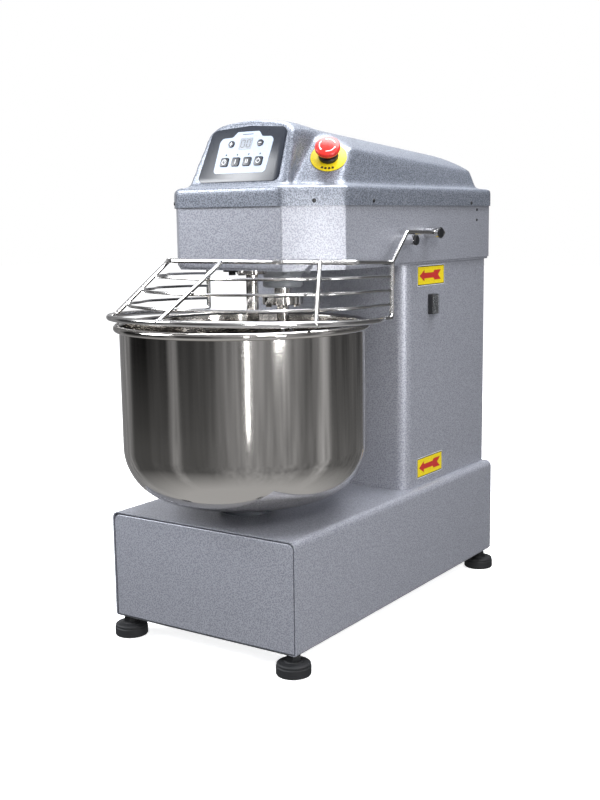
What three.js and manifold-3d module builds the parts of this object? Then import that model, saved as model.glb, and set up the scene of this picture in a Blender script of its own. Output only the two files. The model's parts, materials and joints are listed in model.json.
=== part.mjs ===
// A spiral dough mixer: sheet-metal base, column and head, a turning stainless bowl, a spiral hook,
// a lifting wire guard, a control panel and an emergency stop.
// Millimetres, +Z up, front towards -Y. Places are measured from the middle of the base's front edge
// at floor level, and the last group moves the origin to the middle of the whole machine's footprint.
import * as THREE from "three";
import { mergeVertices } from "three/addons/utils/BufferGeometryUtils.js";
import { ConvexGeometry } from "three/addons/geometries/ConvexGeometry.js";
import Module from "manifold-3d";

const wasm = await Module();
wasm.setup();

// ---------------------------------------------------------------- driving dimensions
const GAP = 0.3; // between pieces that touch
const RUN = 0.06; // radial running clearance of a shaft in its bore
const SHEET = 2; // folded sheet metal
const CUT = 1; // how far a cutting tool reaches past the face it opens

const foot = { radius: 28.5, height: 37, pad: 18, bevel: 6, neck: 12, inset: 18 };
const base = { width: 380, height: 185, bend: 12, rearMargin: 1 };
const column = { width: 344, depth: 326, height: 410, corner: 22, bowlGap: 36.5 };
const bowl = { centreY: 132.5, radius: 206.5, wall: 2, roll: 6, bottomGap: 26, rimDrop: 86, corner: 92 };
column.vents = { count: 7, pitch: 16, slot: 6, below: 60 };
const head = { width: 354, frontY: 98, frontWidth: 211, chamferDepth: 80, height: 116, overhang: 8 };
const tray = { lip: 4, flange: 14 };
const hood = { proud: 3.5, wall: 3, skirt: 33, overlap: 17, shelf: 14, lean: 24.8, roofFall: 3.8 };
hood.bezel = { setback: 22, shoulder: 97, arch: 113.5, crown: 121.5 };
hood.bezel.halfWidth = head.width / 2 - 74;
hood.bezel.topHalfWidth = hood.bezel.halfWidth - 16;
hood.nose = { half: hood.bezel.halfWidth - 17, flare: 30, depth: 146 };
hood.crease = { inset: 13, height: 60, fall: 3.2 };
hood.facet = { turn: 28, lean: 39, innerHeight: 78, back: 92.5 };
hood.rear = { inset: 22, lean: 10 };
const spiral = { bar: 11, sweep: 73, wallGap: 14, floorGap: 13, turns: 1.6, shaft: 15, shank: 40 };
spiral.opening = 0.28;
spiral.closing = 0.2;
spiral.tip = 0.52;
spiral.flange = { radius: 36, thickness: 15 };
spiral.housing = { radius: 35, drop: 35, flange: 52, thickness: 8, rise: 22 };
const breaker = { radius: 10.5, clearance: 6, floorGap: 42, flange: 26, thickness: 8 };
const guard = { rod: 4, ring: 5, wire: 2.5, tilt: 2.2, ringGrow: 13, ringForward: 11.3, ringRise: 6 };
guard.frame = { gap: 17.6, side: 20.6, back: 96, rise: 3.5, bend: 24 };
guard.ringEnd = 44;
guard.rib = { angle: 26.3, share: 0.52 };
guard.wires = 3;
guard.wireGap = 1.5;
guard.arm = { back: 66, height: 50.5, elbow: 110, stub: 17, slope: 1.8, bend: 9 };
guard.pivot = { radius: 9, reach: 31, shaft: 6, inside: 14 };
guard.stop = { radius: 9, back: 18, reach: 27 };
const stop = { inward: 25.2, up: 58, plate: 30, plateThickness: 1.5, collar: 15, collarHeight: 8 };
stop.neck = { radius: 11, depth: 26 };
stop.plunger = 6;
stop.travel = 5;
stop.cap = { radius: 21, height: 15, skirt: 4, edge: 3 };
const panel = { margin: 20, taper: 7, bottom: 8, top: 104, arch: 6, thickness: 1, corner: 11 };
panel.halfWidth = hood.bezel.halfWidth - panel.margin;
panel.topHalfWidth = panel.halfWidth - panel.taper;
const key = { size: 16, small: 12, thickness: 1.4, travel: 0.5, row: 44, upperRow: 76.8, pitch: 23.2 };
key.upperReach = 29.6;
const power = { behind: 95.5, below: 75.5, width: 25, length: 37, proud: 9.5, wall: 3.5, depth: 22 };
power.tip = 10;
power.rocker = { clear: 3.4, side: 1.6, face: 3.4, depth: 7, taper: 0.6 };
power.flap = 1.6;
const bowlDrive = { shaft: 17, housing: 34, flange: 48, plate: 8, hub: 40, hubGap: 4 };
const drive = { shaft: 12, back: 85, motorBack: 155, pitch: 15.875, sprocket: 8, band: 5, chain: 12 };
drive.tooth = 4;
drive.bowlLevel = 82;
drive.baseLevel = 124;
drive.headLevel = 44;
drive.bracket = { boss: 31, bossHeight: 30, plate: 10, overlap: 4 };
const teeth = { bowl: 38, idlerOut: 9, idlerIn: 38, base: 10, head: 14, spiral: 30 };
const belt = { motorRadius: 35, bigRadius: 105, width: 14, depth: 8, level: 82 };
const motor = { radius: 72, length: 230, fins: 12, fin: 4, shaft: 12, fanCover: 30, flange: 12, seat: 20 };
const idler = { post: 10, washer: 16 };
const gland = { radius: 10, thread: 7, length: 9, height: 60, across: 120 };
const controlBox = { width: head.width / 2 - 125, depth: 120, height: 90 };

// ---------------------------------------------------------------- places that follow
const rad = THREE.MathUtils.degToRad;
const baseTop = foot.height + base.height;
const rimRadius = bowl.radius - bowl.wall + 2 * bowl.roll;
const columnFront = bowl.centreY + rimRadius + column.bowlGap;
const columnRear = columnFront + column.depth;
const baseDepth = columnRear + base.rearMargin;
const trayBottom = baseTop + column.height;
const headBottom = trayBottom + tray.lip;
const headTop = headBottom + head.height;
const headRear = columnRear + head.overhang;
const bowlBottom = baseTop + bowl.bottomGap;
const rimTop = baseTop + column.height - bowl.rimDrop;
const innerRadius = bowl.radius - bowl.wall;
const spiralY = bowl.centreY + innerRadius - spiral.wallGap - spiral.sweep;
const breakerY = spiralY - spiral.sweep - breaker.clearance - breaker.radius;
const jackY = columnFront + drive.back;
const motorY = jackY + drive.motorBack;
const idlerY = (bowl.centreY + jackY) / 2;
const skirtBottom = headTop - hood.overlap;
const shelfZ = skirtBottom + hood.skirt;
const bezelY = head.frontY + hood.bezel.setback;
const pivotY = columnFront + guard.arm.back;
const pivotZ = headBottom + guard.arm.height;
const headSide = head.width / 2;

// ---------------------------------------------------------------- materials
function finish(colour, roughness, metalness) {
  return new THREE.MeshStandardMaterial({ color: colour, roughness, metalness });
}
const hammertone = finish(0x9aa0aa, 0.45, 0.35);
const darkHammertone = finish(0x62676f, 0.45, 0.35);
const stainless = finish(0xc9cbcd, 0.18, 1);
const chromed = finish(0xd6d8da, 0.12, 1);
const steel = finish(0x8b8f94, 0.4, 0.9);
const castIron = finish(0x4d5156, 0.7, 0.4);
const blackPlastic = finish(0x17181a, 0.45, 0);
const overlayFilm = finish(0x1d232b, 0.3, 0);
const keyFilm = finish(0x20242b, 0.35, 0);
const redPlastic = finish(0xe2483f, 0.35, 0);
const yellowPlate = finish(0xf2d21b, 0.5, 0);
const rubber = finish(0x1b1b1c, 0.85, 0);
const clearFlap = new THREE.MeshStandardMaterial({ color: 0xc8d0d4, roughness: 0.15, opacity: 0.35 });
clearFlap.transparent = true;

// ---------------------------------------------------------------- shape helpers
function solidOf(geometry) {
  const bare = geometry.index ? geometry.toNonIndexed() : geometry.clone();
  bare.deleteAttribute("normal");
  bare.deleteAttribute("uv");
  const merged = mergeVertices(bare, 1e-4);
  const vertProperties = merged.attributes.position.array;
  const triVerts = new Uint32Array(merged.index.array);
  return new wasm.Manifold(new wasm.Mesh({ numProp: 3, vertProperties, triVerts }));
}

function geometryOf(solid) {
  const mesh = solid.getMesh();
  const geometry = new THREE.BufferGeometry();
  geometry.setAttribute("position", new THREE.BufferAttribute(mesh.vertProperties, 3));
  geometry.setIndex(new THREE.BufferAttribute(mesh.triVerts, 1));
  geometry.computeVertexNormals();
  return geometry;
}

function join(first, ...others) {
  const made = others.reduce((sum, next) => sum.add(solidOf(next)), solidOf(first));
  return geometryOf(made);
}

function cut(first, ...tools) {
  const made = tools.reduce((rest, next) => rest.subtract(solidOf(next)), solidOf(first));
  return geometryOf(made);
}

function block(x0, x1, y0, y1, z0, z1) {
  const box = new THREE.BoxGeometry(x1 - x0, y1 - y0, z1 - z0);
  return box.translate((x0 + x1) / 2, (y0 + y1) / 2, (z0 + z1) / 2);
}

// A cylinder along Z, from height z0 to z1.
function drum(radius, z0, z1, sides = 32, x = 0, y = 0) {
  const made = new THREE.CylinderGeometry(radius, radius, z1 - z0, sides);
  return made.rotateX(Math.PI / 2).translate(x, y, (z0 + z1) / 2);
}

// A cylinder along X, from x0 to x1.
function pin(radius, x0, x1, y, z, sides = 24) {
  const made = new THREE.CylinderGeometry(radius, radius, x1 - x0, sides);
  return made.rotateZ(Math.PI / 2).translate((x0 + x1) / 2, y, z);
}

// The bore radius whose flats clear a shaft's corners when both have the same number of sides.
function boreFor(shaftRadius, sides) {
  return (shaftRadius + RUN / 2) / Math.cos(Math.PI / sides);
}

// A body of revolution about Z from a list of [radius, height].
function turned(profile, sides = 32) {
  const points = profile.map(([r, z]) => new THREE.Vector2(r, z));
  return new THREE.LatheGeometry(points, sides).rotateX(Math.PI / 2);
}

function prism(outline, z0, z1, holes = []) {
  const shape = new THREE.Shape(outline);
  holes.forEach((hole) => shape.holes.push(new THREE.Path(hole)));
  const options = { depth: z1 - z0, bevelEnabled: false };
  return new THREE.ExtrudeGeometry(shape, options).translate(0, 0, z0);
}

// Replaces each corner of a closed outline by an arc of its own radius.
function rounded(points, radii, steps = 4) {
  const made = [];
  points.forEach((corner, i) => {
    const radius = Array.isArray(radii) ? radii[i] : radii;
    if (radius === 0) {
      made.push(corner.clone());
      return;
    }
    const before = points[(i + points.length - 1) % points.length].clone().sub(corner).normalize();
    const after = points[(i + 1) % points.length].clone().sub(corner).normalize();
    const half = Math.acos(before.dot(after)) / 2;
    const centre = before.clone().add(after).normalize();
    centre.multiplyScalar(radius / Math.sin(half)).add(corner);
    const start = before.clone().multiplyScalar(radius / Math.tan(half)).add(corner).sub(centre);
    const end = after.clone().multiplyScalar(radius / Math.tan(half)).add(corner).sub(centre);
    const sweep = Math.atan2(start.cross(end), start.dot(end));
    for (let k = 0; k <= steps; k++) {
      const turn = (sweep * k) / steps;
      made.push(start.clone().rotateAround(new THREE.Vector2(), turn).add(centre));
    }
  });
  return made;
}

function circle(radius, sides, x = 0, y = 0, phase = 0) {
  return Array.from({ length: sides }, (_, i) => {
    const angle = phase + (2 * Math.PI * i) / sides;
    return new THREE.Vector2(x + radius * Math.cos(angle), y + radius * Math.sin(angle));
  });
}

function rectangle(x0, x1, y0, y1) {
  return [
    new THREE.Vector2(x0, y0),
    new THREE.Vector2(x1, y0),
    new THREE.Vector2(x1, y1),
    new THREE.Vector2(x0, y1),
  ];
}

// A curve through exactly the points given, so that an extrusion has a step at each of them.
class Route extends THREE.Curve {
  constructor(points) {
    super();
    this.points = points;
  }

  getPoint(t) {
    const place = Math.min(Math.max(t, 0), 1) * (this.points.length - 1);
    const i = Math.min(Math.floor(place), this.points.length - 2);
    return this.points[i].clone().lerp(this.points[i + 1], place - i);
  }

  getUtoTmapping(u) {
    return u;
  }
}

// Round bar along the points.
function rod(points, radius, sides = 8) {
  const section = new THREE.Shape(circle(radius, sides));
  const options = { steps: points.length - 1, extrudePath: new Route(points) };
  return new THREE.ExtrudeGeometry(section, options);
}

// Rounds the inner corners of an open route in space.
function bent(points, radius, steps = 3) {
  const made = [points[0].clone()];
  for (let i = 1; i < points.length - 1; i++) {
    const before = points[i - 1].clone().sub(points[i]).normalize();
    const after = points[i + 1].clone().sub(points[i]).normalize();
    const half = before.angleTo(after) / 2;
    const reach = radius / Math.tan(half);
    const start = points[i].clone().addScaledVector(before, reach);
    const end = points[i].clone().addScaledVector(after, reach);
    const bend = new THREE.QuadraticBezierCurve3(start, points[i], end);
    made.push(...bend.getPoints(steps));
  }
  made.push(points.at(-1).clone());
  return made;
}

// The outline of a band stretched round two circles whose centres lie on the Y axis.
function loopOutline(y0, r0, y1, r1, sides = 20) {
  const lean = Math.asin((r0 - r1) / (y1 - y0));
  const made = [];
  for (let i = 0; i <= sides; i++) {
    const angle = Math.PI - lean + ((Math.PI + 2 * lean) * i) / sides;
    made.push(new THREE.Vector2(r0 * Math.cos(angle), y0 + r0 * Math.sin(angle)));
  }
  for (let i = 0; i <= sides; i++) {
    const angle = lean + ((Math.PI - 2 * lean) * i) / sides;
    made.push(new THREE.Vector2(r1 * Math.cos(angle), y1 + r1 * Math.sin(angle)));
  }
  return made;
}

function loopBand(y0, r0, y1, r1, thickness, z0, z1) {
  const outer = loopOutline(y0, r0 + thickness, y1, r1 + thickness);
  return prism(outer, z0, z1, [loopOutline(y0, r0, y1, r1)]);
}

function add(group, name, geometry, material) {
  const mesh = new THREE.Mesh(geometry, material);
  mesh.name = name;
  group.add(mesh);
  return mesh;
}

function groupAt(parent, x, y, z) {
  const made = new THREE.Group();
  made.position.set(x, y, z);
  parent.add(made);
  return made;
}

const machine = new THREE.Group();

// ---------------------------------------------------------------- base
function baseSection(inset, bottom) {
  const x = base.width / 2 - inset;
  const outline = rectangle(-x, x, bottom, baseTop - inset);
  return rounded(outline, [0, 0, base.bend - inset, base.bend - inset]);
}

// Extrudes a section drawn in X and Z along Y.
function along(section, y0, y1) {
  return prism(section, -y1, -y0).rotateX(Math.PI / 2);
}

const footPlaces = [-1, 1].flatMap((side) =>
  [foot.inset, baseDepth - foot.inset].map((y) => [side * (base.width / 2 - foot.inset), y]),
);

function baseShell() {
  const shell = along(baseSection(0, foot.height), 0, baseDepth);
  const hollow = along(baseSection(SHEET, foot.height - CUT), -CUT, baseDepth - SHEET);
  const bowlHole = drum(bowlDrive.housing + GAP, baseTop - 4 * SHEET, baseTop + CUT, 32, 0, bowl.centreY);
  const jackHole = drum(2 * drive.shaft, baseTop - 4 * SHEET, baseTop + CUT, 24, 0, jackY);
  return cut(shell, hollow, bowlHole, jackHole);
}

function baseFrontPanel() {
  return along(baseSection(SHEET + GAP, foot.height + SHEET + GAP), 0, SHEET);
}

// The floor of the base, with the post that the idler turns on.
function baseBottomPlate() {
  const x = base.width / 2 - SHEET - GAP;
  const floor = block(-x, x, 0, baseDepth - SHEET - GAP, foot.height, foot.height + SHEET);
  const top = foot.height + drive.baseLevel + drive.sprocket + idler.washer / 2;
  const post = drum(idler.post, foot.height + CUT, top, 32, 0, idlerY);
  return join(floor, post);
}

function footPad() {
  const { radius, height, pad, bevel, neck } = foot;
  return turned([
    [0, 0],
    [radius - 2, 0],
    [radius, 2],
    [radius, pad],
    [radius - bevel, pad + bevel],
    [neck, pad + bevel],
    [neck, height - GAP],
    [0, height - GAP],
  ], 20);
}

function cableGland() {
  const body = drum(gland.radius, 0, gland.length, 6);
  const stem = drum(gland.thread, -gland.length, CUT, 16);
  return join(body, stem);
}

const baseGroup = groupAt(machine, 0, 0, 0);
add(baseGroup, "base_shell", baseShell(), hammertone);
add(baseGroup, "base_front_panel", baseFrontPanel(), hammertone);
add(baseGroup, "base_bottom_plate", baseBottomPlate(), steel);
["front_left", "rear_left", "front_right", "rear_right"].forEach((place, i) => {
  const pad = add(baseGroup, "foot_" + place, footPad(), rubber);
  pad.position.set(...footPlaces[i], 0);
});

// ---------------------------------------------------------------- column
function columnSection(inset, rear) {
  const x = column.width / 2 - inset;
  const outline = rectangle(-x, x, columnFront + inset, rear);
  const radius = column.corner - inset;
  return rounded(outline, [radius, radius, 0, 0]);
}

const powerY = columnFront + power.behind;
const powerZ = trayBottom - power.below;
const columnTop = trayBottom - GAP;

function columnShell() {
  const shell = prism(columnSection(0, columnRear), baseTop + GAP, columnTop);
  const hollow = prism(columnSection(SHEET, columnRear + CUT), baseTop, columnTop + CUT);
  const width = power.width / 2 - power.wall + GAP;
  const length = power.length / 2 - power.wall + GAP;
  const x = column.width / 2;
  const window = block(
    x - 2 * SHEET, x + CUT, powerY - width, powerY + width, powerZ - length, powerZ + length,
  );
  return cut(shell, hollow, window);
}

// The rear cover lifts out; its slots let the motor's warm air out.
function columnRearCover() {
  const x = column.width / 2 - SHEET - GAP;
  const z0 = baseTop + GAP;
  const cover = block(-x, x, columnRear - SHEET, columnRear, z0, columnTop);
  const { count, pitch, slot, below } = column.vents;
  const slots = Array.from({ length: count }, (_, i) => {
    const z = columnTop - below - i * pitch;
    return block(-x / 2, x / 2, columnRear - SHEET - CUT, columnRear + CUT, z - slot / 2, z + slot / 2);
  });
  const glandHole = along(
    circle(gland.thread + GAP, 16, gland.across, baseTop + gland.height),
    columnRear - SHEET - CUT,
    columnRear + CUT,
  );
  return cut(cover, glandHole, ...slots);
}

const columnGroup = groupAt(machine, 0, 0, 0);
add(columnGroup, "column_shell", columnShell(), hammertone);
add(columnGroup, "column_rear_cover", columnRearCover(), hammertone);
const glandMesh = add(columnGroup, "cable_gland", cableGland(), blackPlastic);
glandMesh.position.set(gland.across, columnRear + GAP, baseTop + gland.height);
glandMesh.rotation.x = -Math.PI / 2;

// ---------------------------------------------------------------- head
// The head's outline moved outwards by a distance; its front corners are chamfered.
function headOutline(out) {
  const across = headSide - head.frontWidth / 2;
  const slant = Math.hypot(across, head.chamferDepth);
  const frontShift = (out * (slant - head.chamferDepth)) / across;
  const sideShift = (out * (slant - across)) / head.chamferDepth;
  const x0 = head.frontWidth / 2 + frontShift;
  const x1 = headSide + out;
  const y0 = head.frontY - out;
  const y1 = head.frontY + head.chamferDepth - sideShift;
  const y2 = headRear + out;
  return [[-x0, y0], [x0, y0], [x1, y1], [x1, y2], [-x1, y2], [-x1, y1]].map(
    ([x, y]) => new THREE.Vector2(x, y),
  );
}

const frontCorner = 4;

function headPrism(out, z0, z1) {
  return prism(rounded(headOutline(out), frontCorner + Math.max(out, 1 - frontCorner), 2), z0, z1);
}

function headShell() {
  const shell = headPrism(0, headBottom, headTop);
  const hollow = headPrism(-SHEET, headBottom - CUT, headTop + CUT);
  const pivots = pin(guard.pivot.shaft + GAP, -headSide - CUT, headSide + CUT, pivotY, pivotZ);
  return cut(shell, hollow, pivots);
}

// The tray that closes the head from below and carries the hook's bearing, the bar and the motor.
function headTray() {
  const out = -SHEET - GAP;
  const body = headPrism(out, trayBottom, headBottom + tray.flange);
  const hollow = headPrism(out - SHEET, trayBottom + SHEET, headBottom + tray.flange + CUT);
  const through = (radius, y) => drum(radius, trayBottom - CUT, trayBottom + 2 * SHEET, 32, 0, y);
  return cut(
    body,
    hollow,
    through(spiral.housing.radius + GAP, spiralY),
    through(2 * drive.shaft, jackY),
    through(2 * motor.shaft, motorY),
  );
}

function tanLean(rise) {
  return rise * Math.tan(rad(hood.lean));
}

// The hood's raised part: its side walls lean in from the shelf to a crease, with an arched roof between.
const upperHalf = headSide - hood.shelf;
const creaseHalf = upperHalf - hood.crease.inset;
const chamferSlope = head.chamferDepth / (headSide - head.frontWidth / 2);
const upperRear = headRear - hood.rear.inset;
const facetFoot = new THREE.Vector3(upperHalf, head.frontY + hood.facet.back, shelfZ);
const facetAlong = new THREE.Vector3(Math.cos(rad(hood.facet.turn)), Math.sin(rad(hood.facet.turn)), 0);
const facetLevel = new THREE.Vector3(facetAlong.y, -facetAlong.x, 0);
const facetNormal = facetLevel.multiplyScalar(Math.cos(rad(hood.facet.lean)));
facetNormal.z = Math.sin(rad(hood.facet.lean));

// Where the right facet's plane, moved in by the wall, lies above a place across the shelf.
function facetY(x, height, inset = 0) {
  const rise = facetNormal.x * (x - facetFoot.x) + facetNormal.z * height + inset;
  return facetFoot.y - rise / facetNormal.y;
}

const creaseY = facetY(creaseHalf, hood.crease.height);
const crownHeight = hood.bezel.crown * Math.cos(rad(hood.lean));
const crownY = bezelY + hood.bezel.crown * Math.sin(rad(hood.lean));
const noseRear = bezelY + hood.nose.depth;

function roofHeight(x, y) {
  const crease = hood.crease.height - (y - creaseY) * Math.tan(rad(hood.crease.fall));
  const crown = crownHeight - (y - crownY) * Math.tan(rad(hood.roofFall));
  return crease + (crown - crease) * (1 - (x / creaseHalf) ** 2);
}

// The convex solid round points given for one side of the machine and their mirror images.
function bothSides(points) {
  const made = points.flatMap(([x, y, z]) => [new THREE.Vector3(x, y, z), new THREE.Vector3(-x, y, z)]);
  return solidOf(new ConvexGeometry(made));
}

// The bezel's outline as [half width, distance up the bezel], from its foot to the crown.
function bezelOutline() {
  const { halfWidth, topHalfWidth, shoulder, arch, crown } = hood.bezel;
  const top = [0.8, 0.55, 0.3, 0].map((share) => [
    share * topHalfWidth,
    crown - (crown - arch) * (share / 0.8) ** 2,
  ]);
  const corner = [0.93 * topHalfWidth, 0.6 * shoulder + 0.4 * arch];
  return [[halfWidth, 0], [topHalfWidth, shoulder], corner, ...top];
}

// The bezel and the short flare behind it, down to the half width of the nose.
function bezelHood(inset, z0) {
  const points = [];
  bezelOutline().forEach(([half, s]) => {
    const rise = s * Math.cos(rad(hood.lean));
    const z = s === 0 ? z0 : shelfZ + rise - inset;
    const y = bezelY + tanLean(rise) + inset;
    points.push([Math.max(half - inset, 0), y, z]);
    points.push([Math.max(Math.min(half, hood.nose.half) - inset, 0), y + hood.nose.flare, z]);
  });
  return bothSides(points);
}

// The nose: the arched part behind the bezel, narrower than the bezel.
function noseHood(inset, z0) {
  const half = hood.nose.half;
  const front = bezelY + hood.nose.flare;
  const points = [[half - inset, front, z0], [half - inset, noseRear - inset, z0]];
  bezelOutline().slice(1).forEach(([across, s]) => {
    const rise = s * Math.cos(rad(hood.lean));
    points.push([Math.max(Math.min(across, half) - inset, 0), front + tanLean(rise), shelfZ + rise - inset]);
  });
  [1, 0.66, 0.33, 0].forEach((share) => {
    const x = share * half;
    points.push([Math.max(x - inset, 0), noseRear - inset, shelfZ + roofHeight(x, noseRear) - inset]);
  });
  return bothSides(points);
}

// The wide part, with a facet at each front corner; the right one carries the emergency stop.
function wideHood(inset, z0) {
  const half = hood.nose.half - inset;
  const { height } = hood.crease;
  const points = [
    [upperHalf - inset, facetY(upperHalf, z0 - shelfZ, inset), z0],
    [half, facetY(half, z0 - shelfZ, inset), z0],
    [half, facetY(half, hood.facet.innerHeight - inset, inset), shelfZ + hood.facet.innerHeight - inset],
    [creaseHalf - inset, facetY(creaseHalf, height - inset, inset), shelfZ + height - inset],
    [upperHalf - inset, upperRear - inset, z0],
  ];
  [noseRear, upperRear - hood.rear.lean].forEach((y, row) => {
    [1, 0.75, 0.5, 0.25, 0].forEach((share) => {
      const x = share * creaseHalf;
      const back = row === 0 ? y : y - inset;
      points.push([Math.max(x - inset, 0), back, shelfZ + roofHeight(x, y) - inset]);
    });
  });
  return bothSides(points);
}

function upperHood(inset, z0) {
  return bezelHood(inset, z0).add(noseHood(inset, z0)).add(wideHood(inset, z0));
}

// The frame of the facet that carries the emergency stop: X along it, Y up it, Z out of it.
function facetFrame() {
  const up = facetNormal.clone().cross(facetAlong);
  const origin = facetFoot.clone().addScaledVector(facetAlong, -stop.inward).addScaledVector(up, stop.up);
  return new THREE.Matrix4().makeBasis(facetAlong, up, facetNormal).setPosition(origin);
}

const stopFrame = facetFrame();

function hoodCover() {
  const outside = solidOf(headPrism(hood.proud, skirtBottom, shelfZ)).add(upperHood(0, shelfZ - CUT));
  const skirtHollow = headPrism(hood.proud - hood.wall, skirtBottom - CUT, shelfZ - hood.wall);
  const hollow = solidOf(skirtHollow).add(upperHood(hood.wall, shelfZ - hood.wall - CUT));
  const reach = stop.neck.depth;
  const hole = drum(stop.neck.radius + GAP, -reach, reach, 24).applyMatrix4(stopFrame);
  return geometryOf(outside.subtract(hollow).subtract(solidOf(hole)));
}

function controlBoxBody() {
  const x = -headSide + 2 * SHEET + 3 * GAP;
  const z = trayBottom + SHEET + GAP;
  const y = spiralY + spiral.sweep;
  return block(x, x + controlBox.width, y, y + controlBox.depth, z, z + controlBox.height);
}

const headGroup = groupAt(machine, 0, 0, 0);
add(headGroup, "head_shell", headShell(), hammertone);
add(headGroup, "head_tray", headTray(), hammertone);
add(headGroup, "hood", hoodCover(), darkHammertone);
add(headGroup, "control_box", controlBoxBody(), blackPlastic);

// ---------------------------------------------------------------- control panel on the bezel
const panelGroup = groupAt(headGroup, 0, bezelY, shelfZ);
panelGroup.rotation.x = Math.PI / 2 - rad(hood.lean);

function overlay() {
  const { halfWidth, topHalfWidth, bottom, top, arch, thickness, corner } = panel;
  const outline = [
    new THREE.Vector2(-halfWidth, bottom),
    new THREE.Vector2(halfWidth, bottom),
    new THREE.Vector2(topHalfWidth, top),
    new THREE.Vector2(0, top + arch),
    new THREE.Vector2(-topHalfWidth, top),
  ];
  return prism(rounded(outline, [corner, corner, corner, 4 * corner, corner], 4), GAP, GAP + thickness);
}

function keyCap(size) {
  const outline = rounded(rectangle(-size / 2, size / 2, -size / 2, size / 2), 2, 2);
  return prism(outline, 0, key.thickness);
}

add(panelGroup, "panel_overlay", overlay(), overlayFilm);
const keyLevel = 2 * GAP + panel.thickness + key.travel;
const lowerKeys = ["timer", "slow", "fast", "start_stop"];
lowerKeys.forEach((name, i) => {
  const cap = add(panelGroup, "key_" + name, keyCap(key.size), keyFilm);
  cap.position.set((i - (lowerKeys.length - 1) / 2) * key.pitch, key.row, keyLevel);
});
[["plus", -1], ["minus", 1]].forEach(([name, side]) => {
  const cap = add(panelGroup, "key_" + name, keyCap(key.small), keyFilm);
  cap.position.set(side * key.upperReach, key.upperRow, keyLevel);
});

// ---------------------------------------------------------------- emergency stop on the right facet
const stopGroup = new THREE.Group();
stopGroup.applyMatrix4(stopFrame);
headGroup.add(stopGroup);
const plateTop = GAP + stop.plateThickness;
const collarTop = plateTop + GAP + stop.collarHeight;

function stopPlate() {
  return prism(circle(stop.plate, 32), GAP, plateTop, [circle(stop.neck.radius + GAP, 24)]);
}

function stopCollar() {
  const bore = boreFor(stop.plunger, 24);
  return turned([
    [bore, -stop.neck.depth],
    [stop.neck.radius, -stop.neck.depth],
    [stop.neck.radius, plateTop + GAP],
    [stop.collar, plateTop + GAP],
    [stop.collar, collarTop],
    [bore, collarTop],
    [bore, -stop.neck.depth],
  ], 24);
}

const capBottom = collarTop + stop.travel + 1;

function stopPlunger() {
  return drum(stop.plunger, -stop.neck.depth + stop.travel + CUT, capBottom + stop.cap.skirt - GAP, 24);
}

// The mushroom head: a flat-topped cap with a smaller skirt below its rim.
function stopHead() {
  const { radius, height, skirt, edge } = stop.cap;
  return turned([
    [0, capBottom + skirt],
    [stop.plunger + GAP, capBottom + skirt],
    [stop.plunger + GAP, capBottom],
    [0.75 * radius, capBottom],
    [radius, capBottom + skirt],
    [radius, capBottom + height - edge],
    [radius - edge, capBottom + height],
    [0, capBottom + height],
  ], 20);
}

add(stopGroup, "e_stop_plate", stopPlate(), yellowPlate);
add(stopGroup, "e_stop_collar", stopCollar(), blackPlastic);
add(stopGroup, "e_stop_plunger", stopPlunger(), steel);
add(stopGroup, "e_stop_head", stopHead(), redPlastic);

// ---------------------------------------------------------------- power switch on the right of the column
const powerGroup = groupAt(columnGroup, column.width / 2, powerY, powerZ);
const windowHalf = power.width / 2 - power.wall;
const windowLong = power.length / 2 - power.wall;

function switchFrame() {
  const y = power.width / 2;
  const z = power.length / 2;
  const bezel = block(GAP, power.proud, -y, y, -z, z);
  const body = block(-power.depth, CUT, -windowHalf, windowHalf, -windowLong, windowLong);
  const wall = 1.2;
  const yIn = windowHalf - wall;
  const zIn = windowLong - wall;
  return cut(join(bezel, body), block(-power.depth + wall, power.proud + CUT, -yIn, yIn, -zIn, zIn));
}

// The rocker's face is a shallow V, so that one half stands out and the other lies in.
function switchRocker() {
  const { clear, side, face, depth, taper } = power.rocker;
  const half = windowLong - clear;
  const y = windowHalf - side;
  const drop = half * Math.tan(rad(2 * power.tip));
  const outline = [
    new THREE.Vector2(-depth, half * taper),
    new THREE.Vector2(face - drop, 0.92 * half),
    new THREE.Vector2(face, 0),
    new THREE.Vector2(0.9 * face, -half),
    new THREE.Vector2(-depth, -half * taper),
  ];
  return prism(outline, -y, y).rotateX(Math.PI / 2);
}

// A clear cover that lifts about its upper edge.
function switchFlap() {
  const y = power.width / 2 - 0.5;
  const z = power.length / 2 - 0.5;
  const x0 = power.proud + GAP;
  return block(x0, x0 + power.flap, -y, y, -z, z);
}

add(powerGroup, "switch_frame", switchFrame(), blackPlastic);
add(powerGroup, "switch_rocker", switchRocker(), blackPlastic);
add(powerGroup, "switch_flap", switchFlap(), clearFlap);

// ---------------------------------------------------------------- bowl and its drive
function sprocket(count, boreRadius, boreSides = 32) {
  const pitchRadius = drive.pitch / (2 * Math.sin(Math.PI / count));
  const outline = Array.from({ length: 2 * count }, (_, i) => {
    const angle = (Math.PI * i) / count;
    const radius = pitchRadius + (i % 2 ? drive.tooth : -drive.tooth);
    return new THREE.Vector2(radius * Math.cos(angle), radius * Math.sin(angle));
  });
  const holes = boreRadius > 0 ? [circle(boreRadius, boreSides)] : [];
  return prism(outline, 0, drive.sprocket, holes);
}

function tipRadius(count) {
  return drive.pitch / (2 * Math.sin(Math.PI / count)) + drive.tooth;
}

function chain(y0, count0, y1, count1, z) {
  const r0 = tipRadius(count0) + 4 * GAP;
  const r1 = tipRadius(count1) + 4 * GAP;
  const low = z + (drive.sprocket - drive.chain) / 2;
  return loopBand(y0, r0, y1, r1, drive.band, low, low + drive.chain);
}

// Points of an arc in a turned profile, between two angles in degrees.
function arc(centreR, centreZ, radius, from, to, steps) {
  return Array.from({ length: steps + 1 }, (_, i) => {
    const angle = rad(from + ((to - from) * i) / steps);
    return [centreR + radius * Math.cos(angle), centreZ + radius * Math.sin(angle)];
  });
}

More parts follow.
